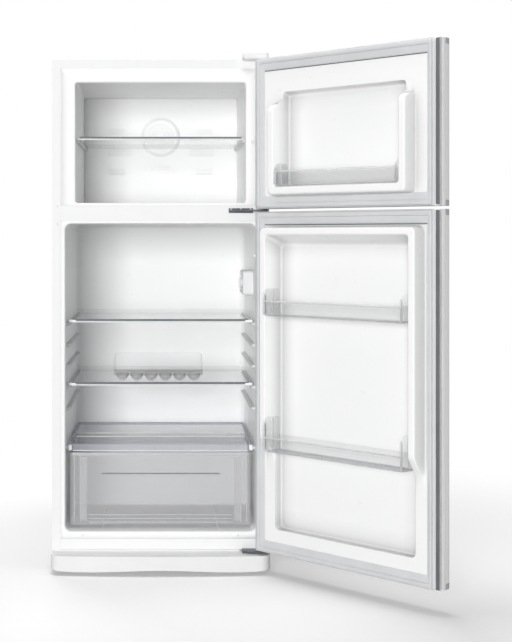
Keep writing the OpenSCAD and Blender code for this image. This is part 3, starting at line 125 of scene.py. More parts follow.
bpy.context.scene.view_settings.view_transform = "Standard"
world = bpy.data.worlds.new("studio")
bpy.context.scene.world = world
world.use_nodes = True
world.node_tree.nodes.clear()
add = adder(world.node_tree)
lit = add("Background", {"Color": white, "Strength": room_light})
shown = add("Background", {"Color": white, "Strength": 1.0})
mixed = add("MixShader", {0: seen_ray(add), 1: lit.outputs[0], 2: shown.outputs[0]})
add("OutputWorld", {0: mixed.outputs[0]})

floor_mesh = bpy.data.meshes.new("floor")
corners = [(x * floor_half, y * floor_half, 0) for x, y in ((-1, -1), (1, -1), (1, 1), (-1, 1))]
floor_mesh.from_pydata(corners, [], [(0, 1, 2, 3)])
floor = bpy.data.objects.new("floor", floor_mesh)
bpy.context.scene.collection.objects.link(floor)
paper = bpy.data.materials.new("floor_paper")
paper.use_nodes = True
paper.node_tree.nodes.clear()
add = adder(paper.node_tree)
matt = add("BsdfDiffuse", {"Color": (0.5, 0.5, 0.5, 1)})
near = add("BsdfDiffuse", {"Color": (0.86, 0.86, 0.865, 1)})
glow = add("Emission", {"Color": white, "Strength": 0.25})
lifted = add("AddShader", {0: near.outputs[0], 1: glow.outputs[0]})
far = add("Emission", {"Color": white, "Strength": 1.0})
spot = add("TexCoord").outputs["Object"]
reach = add("VectorMath", {0: spot}, operation="LENGTH")
fade = add("MapRange", {"Value": reach.outputs["Value"], "From Min": floor_fades[0],
                        "From Max": floor_fades[1]}, interpolation_type="SMOOTHSTEP")
whole = add("MixShader", {0: fade.outputs[0], 1: lifted.outputs[0], 2: far.outputs[0]})
mixed = add("MixShader", {0: seen_ray(add), 1: matt.outputs[0], 2: whole.outputs[0]})
add("OutputMaterial", {0: mixed.outputs[0]})
floor_mesh.materials.append(paper)

# ---------------------------------------------------------------- finishes


def finish(name, colour, second=None, patch=6, rough=0.4, rough_swing=0.08, grain=900, bump=0.1,
           depth=0.0002, stretch=(1, 1, 1), metal=0.0, coat=0.0, gloss=0.5, edge=0.0, spangle=0,
           clear=None, painted_corner_shade=None):
    """A surface finish on Object coordinates.

    colour and second are mixed by slow noise of scale patch; roughness swings about rough with a
    finer noise; grain is the scale of the bump, depth its height in metres. edge rounds the shading
    of sharp edges by that many metres. spangle adds crystal patches of that scale. clear is
    (alpha seen square on, alpha at grazing angles). The last argument paints shade into corners by
    ambient occlusion: it is (how much darker the tone is painted deep in a corner, reach in metres).
    """
    m = bpy.data.materials.new(name)
    m.use_nodes = True
    m.node_tree.nodes.clear()
    add = adder(m.node_tree)

    def multiplied(tone, shade):
        """The tone darkened or lightened by a node's grey output."""
        both = add("Mix", {"Factor": 1.0}, data_type="RGBA", blend_type="MULTIPLY")
        m.node_tree.links.new(tone, both.inputs[6])
        m.node_tree.links.new(shade.outputs[0], both.inputs[7])
        return both.outputs[2]

    second = second or tuple(c * 0.965 for c in colour)
    where = add("TexCoord").outputs["Object"]
    stretched = add("Mapping", {"Vector": where, "Scale": stretch}).outputs[0]
    slow = add("TexNoise", {"Vector": stretched, "Scale": patch, "Detail": 4, "Roughness": 0.6})
    ramp = add("MapRange", {"Value": slow.outputs[0], "From Min": 0.35, "From Max": 0.65})
    mixed = add("Mix", {"Factor": ramp.outputs[0]}, data_type="RGBA")
    mixed.inputs[6].default_value = (*colour, 1)
    mixed.inputs[7].default_value = (*second, 1)
    tone = mixed.outputs[2]
    fine = add("TexNoise", {"Vector": stretched, "Scale": grain, "Detail": 2, "Roughness": 0.5})
    mid = add("TexNoise", {"Vector": stretched, "Scale": patch * 7, "Detail": 5, "Roughness": 0.65})
    dull = add("MapRange", {"Value": mid.outputs[0], "From Min": 0.3, "From Max": 0.7,
                            "To Min": rough - rough_swing, "To Max": rough + rough_swing})
    if spangle:
        cells = add("TexVoronoi", {"Vector": stretched, "Scale": spangle, "Randomness": 1})
        shade = add("MapRange", {"Value": cells.outputs["Color"], "To Min": 0.82, "To Max": 1.12})
        tone = multiplied(tone, shade)
    # Painted shade: the tone darkens where ambient occlusion finds a corner or crease close by.
    if painted_corner_shade:
        corner = add("AmbientOcclusion", {"Distance": painted_corner_shade[1]}, samples=6, only_local=True)
        shade = add("MapRange", {"Value": corner.outputs["AO"], "From Min": 0.4, "From Max": 0.95,
                                 "To Min": 1 - painted_corner_shade[0]})
        tone = multiplied(tone, shade)
    lumps = add("Bump", {"Strength": bump, "Distance": depth, "Height": fine.outputs[0]})
    if edge:
        rounded = add("Bevel", {"Radius": edge}, samples=4)
        m.node_tree.links.new(rounded.outputs[0], lumps.inputs["Normal"])
    skin = add("BsdfPrincipled", {
        "Base Color": tone, "Roughness": dull.outputs[0], "Normal": lumps.outputs[0],
        "Metallic": metal, "Coat Weight": coat, "Coat Roughness": 0.08,
        "Specular IOR Level": gloss, "IOR": 1.5,
    })
    if clear:
        facing = add("LayerWeight", {"Blend": 0.5}).outputs["Facing"]
        see = add("MapRange", {"Value": facing, "From Min": 0.1, "From Max": 0.95,
                               "To Min": clear[0], "To Max": clear[1]})
        m.node_tree.links.new(see.outputs[0], skin.inputs["Alpha"])
    add("OutputMaterial", {0: skin.outputs[0]})
    return m


looks = {
    "white_steel": finish("white_enamel", (0.875, 0.877, 0.877), (0.867, 0.87, 0.873), rough=0.30,
                          rough_swing=0.03, grain=420, bump=0.05, coat=0.25, edge=0.0009),
    "foam": finish("foam_block", (0.80, 0.68, 0.36), (0.70, 0.58, 0.28), patch=30, rough=0.85,
                   grain=700, bump=0.6, depth=0.0008),
    "liner_plastic": finish("liner_sheet", (0.95, 0.952, 0.95), (0.94, 0.944, 0.945), rough=0.34,
                            grain=1500, bump=0.10, edge=0.0015),
    "zinc_steel": finish("galvanised_sheet", (0.62, 0.63, 0.64), (0.54, 0.55, 0.57), patch=20,
                         rough=0.42, metal=0.85, spangle=90, grain=300, bump=0.1, edge=0.0008),
    "plinth_plastic": finish("plinth_white", (0.88, 0.882, 0.882), rough=0.38, grain=1300,
                             bump=0.12, edge=0.0012),
    "foot_plastic": finish("foot_black", (0.05, 0.05, 0.052), (0.08, 0.08, 0.08), patch=40,
                           rough=0.5, bump=0.3, edge=0.0006),
    "roller_plastic": finish("roller_grey", (0.32, 0.33, 0.34), (0.26, 0.27, 0.28), patch=40,
                             rough=0.5, bump=0.3, edge=0.0006),
    "black_steel": finish("black_enamel", (0.018, 0.018, 0.02), (0.03, 0.03, 0.032), patch=30,
                          rough=0.32, grain=600, bump=0.2, coat=0.3),
    "black_rubber": finish("rubber_black", (0.022, 0.022, 0.023), (0.045, 0.044, 0.043), patch=50,
                           rough=0.75, grain=1600, bump=0.4, gloss=0.3, edge=0.0006),
    "black_plastic": finish("plastic_black", (0.025, 0.025, 0.027), (0.04, 0.04, 0.042), patch=40,
                            rough=0.45, grain=1800, bump=0.3, edge=0.0008),
    "grey_plastic": finish("plastic_grey", (0.36, 0.37, 0.385), (0.31, 0.32, 0.335), patch=30,
                           rough=0.48, grain=1800, bump=0.3, edge=0.0008),
    "aluminium_fins": finish("aluminium_mill", (0.78, 0.79, 0.80), (0.70, 0.71, 0.73), patch=20,
                             rough=0.3, metal=1.0, stretch=(1, 1, 12), grain=300, bump=0.15),
    "shelf_glass": finish("shelf_glass", (0.72, 0.76, 0.76), (0.70, 0.74, 0.745), rough=0.05,
                          rough_swing=0.02, bump=0.01, clear=(0.03, 0.12), gloss=0.4),
    "shelf_trim_plastic": finish("trim_clear", (0.80, 0.81, 0.82), (0.76, 0.77, 0.785), rough=0.2,
                                 bump=0.05, clear=(0.08, 0.28)),
    "clear_plastic": finish("clear_styrene", (0.80, 0.81, 0.82), (0.76, 0.77, 0.785), patch=5,
                            rough=0.12, rough_swing=0.04, bump=0.06, clear=(0.05, 0.3), gloss=0.6),
    "cover_plastic": finish("cover_blue", (0.83, 0.84, 0.98), (0.86, 0.87, 0.98), patch=3,
                            rough=0.2, bump=0.05, clear=(0.16, 0.17), gloss=0.5),
    "switch_plastic": finish("switch_white", (0.78, 0.79, 0.80), rough=0.4, bump=0.15, edge=0.0008),
    "lamp_glass": finish("lamp_frosted", (0.92, 0.90, 0.82), rough=0.5, bump=0.1),
    "hinge_steel": finish("hinge_dark", (0.16, 0.165, 0.18), (0.12, 0.125, 0.14), patch=30,
                          rough=0.4, metal=0.5, grain=500, bump=0.2, edge=0.0008),
    "cap_plastic": finish("cap_grey", (0.44, 0.45, 0.47), (0.40, 0.41, 0.43), patch=20, rough=0.42,
                          bump=0.2, edge=0.0012),
    "grip_plastic": finish("grip_pale", (0.74, 0.745, 0.75), (0.69, 0.695, 0.70), patch=20,
                           rough=0.5, bump=0.25, edge=0.0008),
    "gasket_rubber": finish("gasket_vinyl", (0.69, 0.70, 0.71), (0.65, 0.66, 0.675), patch=14,
                            rough=0.52, grain=1200, bump=0.2, edge=0.0008),
}

# Smoked plastic for the shelves' bumpers; on the drawer front it also paints the shade of a finger groove as a
# dark line, and it draws the dark lines on the bin ends.
smoke_and_shade = finish("smoked_edge", (0.20, 0.21, 0.22), (0.17, 0.18, 0.19), patch=12, rough=0.25,
               bump=0.1, edge=0.0008)
bright_trim = finish("white_trim", (0.90, 0.905, 0.91), (0.87, 0.88, 0.89), patch=12, rough=0.3,
                     bump=0.1, edge=0.0008)
lilac_edge = finish("lilac_edge", (0.42, 0.43, 0.54), (0.52, 0.53, 0.64), patch=10, rough=0.25,
                    bump=0.1, clear=(0.3, 0.65))
# Painted shade: a grey for the layer inside each door bin's floor that darkens its bottom.
floor_shade_clear = finish("bin_foot", (0.56, 0.57, 0.59), (0.50, 0.51, 0.53), patch=10, rough=0.25,
                    bump=0.1, clear=(0.12, 0.35))
post_clear = finish("bin_post", (0.88, 0.885, 0.89), (0.84, 0.845, 0.85), patch=10, rough=0.2,
                    bump=0.1, clear=(0.35, 0.7))
# The doors' liner sheet, with shade painted into its corners and creases by ambient occlusion.
door_sheet = finish("door_sheet", (0.955, 0.957, 0.955), (0.945, 0.949, 0.95), rough=0.34,
                    grain=1500, bump=0.10, edge=0.0015, painted_corner_shade=(0.55, 0.065))
# Painted shade: the control box takes a grey darker than the white liner, so its front, square to the lamp,
# doesn't outshine the wall.
box_sheet = finish("box_sheet", (0.80, 0.805, 0.81), (0.77, 0.775, 0.78), patch=20, rough=0.4,
                   grain=1500, bump=0.1)
# Painted shade: the rails take a mid grey, darker than the white liner they are moulded from.
rail_sheet = finish("rail_sheet", (0.60, 0.605, 0.61), (0.66, 0.665, 0.67), patch=20, rough=0.34,
                    grain=1500, bump=0.1)
# Painted shadow: a near-black finish for the line and the strip that stand for the shade in the gaps beside the
# door seals.
seal_shadow_finish = finish("edge_strip", (0.12, 0.125, 0.13), (0.16, 0.165, 0.17), patch=12, rough=0.5,
                   bump=0.15)
drawer_clear = finish("drawer_clear", (0.94, 0.945, 0.96), (0.91, 0.915, 0.935), patch=5,
                      rough=0.12, rough_swing=0.04, bump=0.06, clear=(0.2, 0.07), gloss=0.6)
bead_clear = finish("bead_clear", (0.92, 0.925, 0.93), (0.88, 0.885, 0.89), patch=8, rough=0.2,
                    bump=0.1, clear=(0.3, 0.5))
bin_clear = finish("bin_clear", (0.80, 0.81, 0.825), (0.76, 0.77, 0.785), patch=10, rough=0.12,
                   rough_swing=0.04, bump=0.06, clear=(0.02, 0.34), gloss=0.5)
vent_grey = finish("vent_shade", (0.93, 0.935, 0.94), (0.89, 0.895, 0.90), patch=16, rough=0.6,
                   bump=0.2)

# The record's slot of each finish that is not itself a slot's own look.
slot_names = {
    **dict.fromkeys(("smoked_edge", "white_trim"), "shelf_trim_plastic"),
    **dict.fromkeys(("bin_foot", "bin_post", "bin_clear", "bead_clear", "drawer_clear"),
                    "clear_plastic"),
    **dict.fromkeys(("door_sheet", "rail_sheet", "box_sheet", "vent_shade"), "liner_plastic"),
    "lilac_edge": "cover_plastic",
    "edge_strip": "grip_plastic",
}

# ---------------------------------------------------------------- shapes

# Sizes that several pieces share.
fridge_half, freezer_half = 308, 275  # half widths inside the two compartments
fridge_floor, fridge_top = 124, 1117
freezer_floor, freezer_top = 1184, 1572
liner_back = 598
face_y = -12.0  # inner face of a door, when shut
free_x = -350  # free edge of a door, when shut
top_rail, rail_pitch = 793, 69  # fridge rails, from the top one down
cover_rail = 388
freezer_rail = 1390
rest_gap = 0.3  # a shelf above its rail

hinge = next(j for j in frame["joints"] if j["name"] == "fridge_door_hinge")
open_turn = -math.radians(hinge["range_deg"][0])
pin = np.array(hinge["pos_m"][:2]) * 1000


def turned(points, angle):
    """Points turned about the doors' pin: (x, y) from the pin goes to (c x - s y, s x + c y)."""
    c, s = math.cos(angle), math.sin(angle)
    p = np.array(points, float)
    x, y = p[..., 0] - pin[0], p[..., 1] - pin[1]
    p[..., 0] = pin[0] + c * x - s * y
    p[..., 1] = pin[1] + s * x + c * y
    return p


def closed_box(node):
    """Lowest and highest corner of a door's node, in mm, with the door turned shut."""
    co = np.empty(len(nodes[node].data.vertices) * 3)
    nodes[node].data.vertices.foreach_get("co", co)
    p = turned(co.reshape(-1, 3) * 1000, -open_turn)
    return p.min(0), p.max(0)


def ring(x0, x1, z0, z1, r, n=6, cuts=()):
    """A round-cornered rectangle: four quarter arcs of radius r joined by straight sides.

    cuts adds points to the upright sides, at those parts of their length.
    """
    t = np.linspace(0, np.pi / 2, n + 1)
    f = np.asarray(cuts, float)
    up = z0 + r + (z1 - z0 - 2 * r) * f
    a = [np.full(len(f), x1), x1 - r + r * np.cos(t), x0 + r - r * np.sin(t),
         np.full(len(f), x0), x0 + r - r * np.cos(t), x1 - r + r * np.sin(t)]
    b = [up, z1 - r + r * np.sin(t), z1 - r + r * np.cos(t),
         up[::-1], z0 + r - r * np.sin(t), z0 + r - r * np.cos(t)]
    return np.stack([np.concatenate(a), np.concatenate(b)], 1)


def lofted(rows, ends=True, close=False):
    """A grid surface through rows of points, each row joined to its own start.

    close joins the last row to the first; ends fills the first and last row.
    """
    rows = np.asarray(rows, float)
    v, u = rows.shape[:2]
    i = np.arange(v if close else v - 1)[:, None]
    j = np.arange(u)[None, :]
    a, b = i * u + j, i * u + (j + 1) % u
    c, d = ((i + 1) % v) * u + (j + 1) % u, ((i + 1) % v) * u + j
    faces = np.stack([a, b, c, d], -1).reshape(-1, 4).tolist()
    if ends and not close:
        faces += [list(range(u))[::-1], list(range((v - 1) * u, v * u))]
    return rows.reshape(-1, 3), faces


def pan(rows):
    """A grid surface through rows of points with only its last row filled."""
    points, faces = lofted(rows, ends=False)
    return points, faces + [list(range(len(points) - len(rows[0]), len(points)))]


def at_depth(flat, y):
    """A flat outline in x and z as points at the depth y."""
    return np.column_stack([flat[:, 0], np.broadcast_to(y, len(flat)), flat[:, 1]])


def at_height(flat, z):
    """A flat outline in x and y as points at the height z."""
    return np.column_stack([flat, np.broadcast_to(z, len(flat))])


def merged(*parts):
    """Several (points, faces) parts as one."""
    points, faces, start = [], [], 0
    for p, f in parts:
        points.append(p)
        faces += [[k + start for k in face] for face in f]
        start += len(p)
    return np.concatenate(points), faces


def block(x, y, z, r, soft=1.0):
    """A round-cornered block: rounded rectangles in x and y stacked upwards.

    They are set in by a quarter arc of radius soft at the bottom and the top.
    """
    t = np.linspace(0, np.pi / 2, 4)
    inset = np.concatenate([soft * (1 - np.sin(t)), soft * (1 - np.cos(t))])
    level = np.concatenate([z[0] + soft * (1 - np.cos(t)), z[1] - soft + soft * np.sin(t)])
    rows = []
    for i, h in zip(inset, level):
        rows.append(at_height(ring(x[0] + i, x[1] - i, y[0] + i, y[1] - i, max(r - i, 0.2)), h))
    return lofted(rows)


def side_blocks(near, far, y, z, r, soft):
    """Two mirrored blocks between two distances from the middle, left one first."""
    return [block(sorted((s * near, s * far)), y, z, r, soft) for s in (-1, 1)]


def bar(section, axis, a, b, soft=0.8):
    """A closed section carried straight along an axis from a to b.

    Each end draws in by soft over a quarter arc.
    """
    section = np.asarray(section, float)
    mid = section.mean(0)
    size = np.abs(section - mid).max()
    t = np.linspace(0, np.pi / 2, 4)
    steps = [(a + soft * (1 - np.cos(k)), 1 - soft / size * (1 - np.sin(k))) for k in t]
    steps += [(b - soft * (1 - np.cos(k)), 1 - soft / size * (1 - np.sin(k))) for k in t[::-1]]
    rows = []
    for place, scale in steps:
        p = mid + (section - mid) * scale
        rows.append(np.insert(p, "xyz".index(axis), place, axis=1))
    return lofted(rows)


def disc(place, axis, r, thick):
    """A round button: rings of falling radius up a low dome, on a place and along an axis."""
    place, d = np.asarray(place, float), np.asarray(axis, float)
    side = np.cross(d, (0.2, 0.5, 0.8))
    side /= np.linalg.norm(side)
    up = np.cross(d, side)
    a = np.linspace(0, 2 * np.pi, 20, endpoint=False)
    circle = np.outer(np.cos(a), side) + np.outer(np.sin(a), up)
    dome = ((-0.2, 1.0), (0.5, 1.0), (0.75, 0.93), (0.925, 0.72), (1, 0.25))  # height, radius
    rows = [place + h * thick * d + r * k * circle for h, k in dome]
    return lofted(rows)


def piece(name, part, body, look, stands_for=(), on_door=False, wall=0.0, inside=None, crease=42):
    """A piece made from a (points, faces) part, riding on a body.

    on_door turns it open with the doors. inside is a point that an open sheet faces; a closed shape
    faces outwards. wall gives a sheet its thickness behind the face. Edges sharper than crease
    degrees stay sharp.
    """
    points, faces = part
    if on_door:
        points = turned(points, open_turn)
    me = bpy.data.meshes.new(name)
    me.from_pydata((np.asarray(points) / 1000).tolist(), [], faces)
    bm = bmesh.new()
    bm.from_mesh(me)
    bmesh.ops.remove_doubles(bm, verts=bm.verts, dist=1e-6)
    bmesh.ops.recalc_face_normals(bm, faces=bm.faces)
    if inside is not None:
        eye = turned([inside], open_turn)[0] if on_door else np.array(inside, float)
        eye = Vector(eye / 1000)
        facing = sum(f.calc_area() * f.normal.dot(eye - f.calc_center_median()) for f in bm.faces)
        if facing < 0:
            bmesh.ops.reverse_faces(bm, faces=bm.faces)
    bm.to_mesh(me)
    bm.free()
    me.shade_smooth()
    me.set_sharp_from_angle(angle=math.radians(crease))
    me.materials.append(looks[look] if isinstance(look, str) else look)
    o = bpy.data.objects.new(name, me)
    bpy.context.scene.collection.objects.link(o)
    if wall:
        thick = o.modifiers.new("wall", "SOLIDIFY")
        thick.thickness = wall / 1000
        thick.offset = -1
        thick.use_even_offset = False
    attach(o, body)
    if stands_for:
        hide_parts(*stands_for)
    return o


def softened(node, width, look=None):
    """A copy of a node that stands for it: flat faces merged, edges rounded by width."""
    source = nodes[node]
    me = source.data.copy()
    me.name = node + "_form"
    bm = bmesh.new()
    bm.from_mesh(me)
    bmesh.ops.remove_doubles(bm, verts=bm.verts, dist=2e-6)
    bmesh.ops.dissolve_limit(bm, angle_limit=math.radians(0.6), verts=bm.verts, edges=bm.edges)
    bm.to_mesh(me)
    bm.free()
    me.shade_smooth()
    me.set_sharp_from_angle(angle=math.radians(35))
    me.materials.clear()
    me.materials.append(look or looks[slot_of[node]])
    o = bpy.data.objects.new(node + "_form", me)
    bpy.context.scene.collection.objects.link(o)
    edge = o.modifiers.new("edges", "BEVEL")
    edge.width = width / 1000
    edge.segments = 2
    edge.limit_method = "ANGLE"
    edge.angle_limit = math.radians(40)
    edge.harden_normals = False
    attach(o, body_of[node])
    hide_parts(node)
    return o


for name, node in nodes.items():
    node.data.materials.clear()
    node.data.materials.append(looks[slot_of[name]])
    node.data.shade_smooth()
    node.data.set_sharp_from_angle(angle=math.radians(30))

# ---------------------------------------------------------------- door liners


def door_liner(name, door, half, z0, z1, stations, height, cuts):
    """A vacuum-formed door liner.

    Each station is (side, top and bottom inset from the ridges' foot, y, corner radius). A point
    above the door's face keeps height(z) of its rise, so a ridge runs out where height falls to 0.
    """
    lo, hi = closed_box(door + "_door_caps")
    rows = []
    for side, top, bottom, y, r in stations:
        flat = ring(-half + side, half - side, z0 + bottom, z1 - top, r, cuts=cuts)
        rise = face_y + (y - face_y) * height(flat[:, 1]) if y > face_y else y
        rows.append(at_depth(flat, rise))
    edge_top, edge_low = hi[2] - z1, z0 - lo[2]
    side = hi[0] - half
    outer = []
    for grow, y in ((0, face_y - 2), (0, face_y - 0.7), (-0.7, face_y)):
        flat = ring(-half - side - grow, half + side + grow, z0 - edge_low - grow,
                    z1 + edge_top + grow, 3, cuts=cuts)
        outer.append(at_depth(flat, y))
    return piece(name, pan(outer + rows), door + "_door", door_sheet,
                 (door + "_door_liner", door + "_door_foam"), on_door=True, wall=1.6,
                 inside=(0, 600, (z0 + z1) / 2), crease=50)


def fridge_height(z):
    """The ridges run out downwards: a straight slope with eased ends between the two heights."""
    low, high = 378, 448
    t = np.clip((z - low) / (high - low), 0, 1)
    return 0.65 * t + 0.35 * t * t * (3 - 2 * t)


def freezer_height(z):
    """The ridges end upwards in a quarter ellipse."""
    low, high = 1466, 1492
    t = np.clip((z - low) / (high - low), 0, 1)
    return np.sqrt(1 - t * t)


fridge_stations = [
    (-16.4, -13.6, -26.4, -12, 8), (-16.0, -13.2, -26.0, -13.6, 8), (-14.0, -11.2, -24.0, -13.6, 8),
    (-13.6, -10.8, -23.6, -12, 8), (-3, -3, -2.4, -12, 24), (-2.6, -2.6, -2.2, -12, 24),
    (-1.0, -1.0, -0.8, -11.3, 22), (-0.2, -0.2, -0.2, -9.6, 21), (0.1, 0, 0.1, -8.4, 21),
    (1.5, 0.8, 2, 0, 21), (3.4, 1.8, 4, 12, 20), (5.4, 3.2, 6, 24.5, 19), (6.0, 3.9, 6.6, 28.0, 18),
    (6.6, 5, 7.4, 30.4, 17), (8.0, 6.8, 9, 32.2, 16.5), (10.4, 9.4, 11, 33, 15),
    (11.6, 10.4, 12, 33, 15), (25.0, 21, 15, 33, 12), (26.0, 22.0, 15.4, 33, 12),
    (27.8, 23.6, 16.4, 32.2, 12), (28.8, 25.4, 17.2, 30.2, 12), (29.2, 27, 17.6, 27.6, 12),
    (29.5, 28, 17.8, 24, 12), (30.6, 31, 19, 14, 13), (32.0, 36, 19.6, 0, 14),
    (33, 41, 20, -12, 16), (34.0, 46, 20.4, -24, 17), (34.6, 50, 20.8, -31, 18),
    (34.8, 51.6, 21, -33.4, 18), (35.4, 54.4, 21.6, -36.6, 18), (37, 58, 23.4, -39.0, 18),
    (39.6, 63, 26, -40, 18), (41, 65, 27, -40, 18),
]
door_liner("fridge_door_liner_form", "fridge", 300, 132, 1107, fridge_stations, fridge_height,
           np.concatenate([[0.08, 0.16, 0.22], np.linspace(0.245, 0.34, 12), [0.45, 0.6, 0.8]]))

freezer_stations = [
    (-49.4, -47.6, -5.2, -12, 5), (-49.0, -47.2, -5.0, -13.6, 5), (-47.0, -45.2, -3.6, -13.6, 5),
    (-46.6, -44.8, -3.4, -12, 5), (-3, -3, -1.6, -12, 18), (-2.6, -2.6, -1.4, -12, 18),
    (-1.0, -1, -0.6, -11.3, 17), (-0.2, -0.2, -0.1, -9.6, 16), (0.1, 0.2, 0, -8.4, 16),
    (1.5, 2, 0.6, 0, 16), (3.4, 5, 1.6, 12, 15), (5.4, 8, 3.2, 24.5, 15), (6.0, 9, 4.2, 28.0, 15),
    (6.6, 10, 5.2, 30.4, 14), (8.0, 12, 8, 32.2, 14), (10.4, 15, 11, 33, 13),
    (11.6, 16, 12, 33, 13), (25.0, 23, 25, 33, 11), (26.0, 24, 26, 33, 11),
    (27.8, 25.6, 27.4, 32.2, 11), (28.8, 26.6, 28.2, 30.2, 11), (29.2, 27.4, 28.6, 27.6, 11),
    (29.5, 28, 29, 24, 11), (30.6, 29, 30, 14, 12), (32.0, 30, 30.3, 0, 12),
    (33, 31, 30.6, -12, 12), (34.0, 34, 30.9, -24, 13), (34.6, 36, 31.2, -31, 14),
    (34.8, 37, 31.5, -33.4, 14), (35.4, 39, 32.2, -36.6, 14), (37, 42, 34, -39.0, 14),
    (39.6, 46, 37, -40, 14), (41, 48, 38, -40, 14),
]
door_liner("freezer_door_liner_form", "freezer", 267, 1202, 1560, freezer_stations, freezer_height,
           np.concatenate([[0.1, 0.25, 0.4, 0.55, 0.66], np.linspace(0.72, 0.88, 11), [0.94]]))

# ---------------------------------------------------------------- gaskets


# A seal's section from its outer foot over two folded webs and the magnet's tube:
# (distance from the hinge edge, depth).
seal_section = [
    (2.4, -12), (2, -10.6), (3.2, -8.8), (11.8, -8.2), (12.4, -7.2), (11.4, -6.0), (13.2, -4.9),
    (12.2, -3.9), (12.0, -1.9), (12.9, -0.9), (19, -0.8), (25.1, -0.9), (26.0, -1.9), (25.8, -3.9),
    (24.8, -4.9), (26.6, -6.0), (25.6, -7.2), (26.2, -8.2), (33, -8.9), (39.4, -9.8), (41.4, -10.7),
    (41.8, -12),
]


def gasket(name, door):
    """A magnetic seal: its closed section carried round a round-cornered rectangle.

    With it come two marks of painted shadow: a dark line along its upper inner edge and a dark
    strip down the free edge, standing for the shade in the gaps beside the seal.
    """
    lo, hi = closed_box(door + "_door_caps")
    rows = []
    for side, y in seal_section:
        end = side - 8 if y > -8 else max(side - 2, 0.6)
        free = 13.4 + side * 0.68
        flat = ring(lo[0] + free, hi[0] - side, lo[2] + end, hi[2] - end, max(9 - side * 0.15, 3))
        rows.append(at_depth(flat, y))
    shadow_line_section = ring(hi[2] - 43.6, hi[2] - 40.4, -12.2, -10.6, 0.5, 3)[:, ::-1]
    shadow_line = bar(shadow_line_section, "x", lo[0] + 42, hi[0] - 40, 0.5)
    strip_section = ring(lo[0] + 0.3, lo[0] + 13.8, -12.3, -11.2, 0.4, 3)
    strip = bar(strip_section, "z", lo[2] + 3, hi[2] - 3, 0.5)
    piece(name + "_seam", merged(shadow_line, strip), door + "_door", seal_shadow_finish, on_door=True, crease=50)
    return piece(name, lofted(rows, close=True), door + "_door", "gasket_rubber",
                 (door + "_door_gasket",), on_door=True, crease=60)


gasket("fridge_gasket_form", "fridge")
gasket("freezer_gasket_form", "freezer")

# ---------------------------------------------------------------- cabinet liners


def cabinet_liner(name, node, half, z0, z1, flange, corner, floor):
    """A compartment's liner: rounded rectangles from the flange to the back.

    They shrink by a quarter arc at the mouth and another at the back. flange is (half width,
    lower and upper edge); floor(y) is the floor's height at a depth.
    """
    wide, low, high = flange
    rows = [at_depth(ring(-wide, wide, low, high, 4), 0.0),
            at_depth(ring(-half - 6, half + 6, z0 - 6, z1 + 5, corner + 4), 0.0)]
    t = np.linspace(0, np.pi / 2, 5)[1:]
    depths = [(5 * (1 - np.sin(a)), 5 * (1 - np.cos(a))) for a in t]
    depths += [(0.0, y) for y in (40, 120, 240, 360, 410, 424, 428, 430, 431.5, 433, 440, 455, 466,
                                  469.5, 472, 475, 479, 484, 500, 540, 566)]
    depths += [(-30 * (1 - np.cos(a)), liner_back - 30 + 30 * np.sin(a))
               for a in np.linspace(0, np.pi / 2, 8)]
    for grow, y in depths:
        up = grow if grow > 0 else grow * 0.45
        flat = ring(-half - grow, half + grow, floor(y) - up, z1 + up, max(corner + grow * 0.5, 5))
        rows.append(at_depth(flat, y))
    return piece(name, pan(rows), "cabinet", "liner_plastic", (node,), wall=1.5,
                 inside=(0, 250, (z0 + z1) / 2 + 60), crease=50)


# The fridge's floor: level, a small fillet, a leaning front and a round nose to the step's top.
step_y = [0, 420, 424, 428, 430, 431.5, 433, 440, 466, 469.5, 472, 475, 479, 484, 700]
step_z = [124, 124, 124.4, 125.6, 127.6, 131, 136, 171, 302, 318, 326, 332, 337, 340, 340]

cabinet_liner("freezer_liner_form", "freezer_liner", freezer_half, freezer_floor, freezer_top,
              (322, 1176, 1617), 8, lambda y: float(freezer_floor))
cabinet_liner("fridge_liner_form", "fridge_liner", fridge_half, fridge_floor, fridge_top,
              (322, 100, 1125), 20, lambda y: float(np.interp(y, step_y, step_z)))


def rail(side, half, z, y0, y1, reach, t):
    """A shelf rail: a half-round section swept from y0 to y1.

    Its reach swells as a quarter ellipse over the first 14 and the last 12.
    """
    front, back = 14, 12
    y = np.concatenate([y0 + front * (1 - np.cos(np.linspace(0, np.pi / 2, 9))),
                        y1 - back * (1 - np.cos(np.linspace(np.pi / 2, 0, 7)))])
    swell = 1.0
    for part in ((y0 + front - y) / front, (y - y1 + back) / back):
        swell = swell * np.sqrt(np.clip(1 - np.clip(part, 0, 1) ** 2, 0, 1))
    a = np.linspace(-np.pi / 2, np.pi / 2, 13)
    flare = np.sign(np.sin(a)) * np.abs(np.sin(a)) ** 8
    x = half + 0.5 - np.outer(swell, reach * np.cos(a) ** 0.7)
    h = z - t / 2 + (t / 2) * np.sin(a) + 1.6 * flare - 0.2
    rows = np.stack([side * x, np.repeat(y[:, None], 13, 1), np.repeat(h[None, :], len(y), 0)], -1)
    return lofted(rows)


rails = [rail(s, fridge_half, top_rail - rail_pitch * i, 60, 576, 16, 9)
         for s in (-1, 1) for i in range(5)]
rails += [rail(s, fridge_half, cover_rail, 62, 576, 12, 8) for s in (-1, 1)]
# The drawer's skids: a flat-topped section that rises along the run and falls again.
run = np.array([40, 70, 110, 150, 400, 412, 420])
rise = np.array([0.2, 2.2, 4.8, 6.1, 6.1, 4, 0.3])
skid_x = np.array([-5, -4.6, -3.4, 3.4, 4.6, 5])
skid_h = np.array([0, 0.6, 1, 1, 0.6, 0])
skids = [lofted([np.column_stack([s * 190 + skid_x, np.full(6, y), fridge_floor - 0.5 + h * skid_h])
                 for y, h in zip(run, rise)]) for s in (-1, 1)]
piece("fridge_rails", merged(*rails), "cabinet", rail_sheet, crease=55)
piece("fridge_skids", merged(*skids), "cabinet", "liner_plastic", crease=55)
rails = [rail(s, freezer_half, freezer_rail, 38, 500, 13, 8) for s in (-1, 1)]
piece("freezer_rails", merged(*rails), "cabinet", rail_sheet, crease=55)

# ---------------------------------------------------------------- shelves


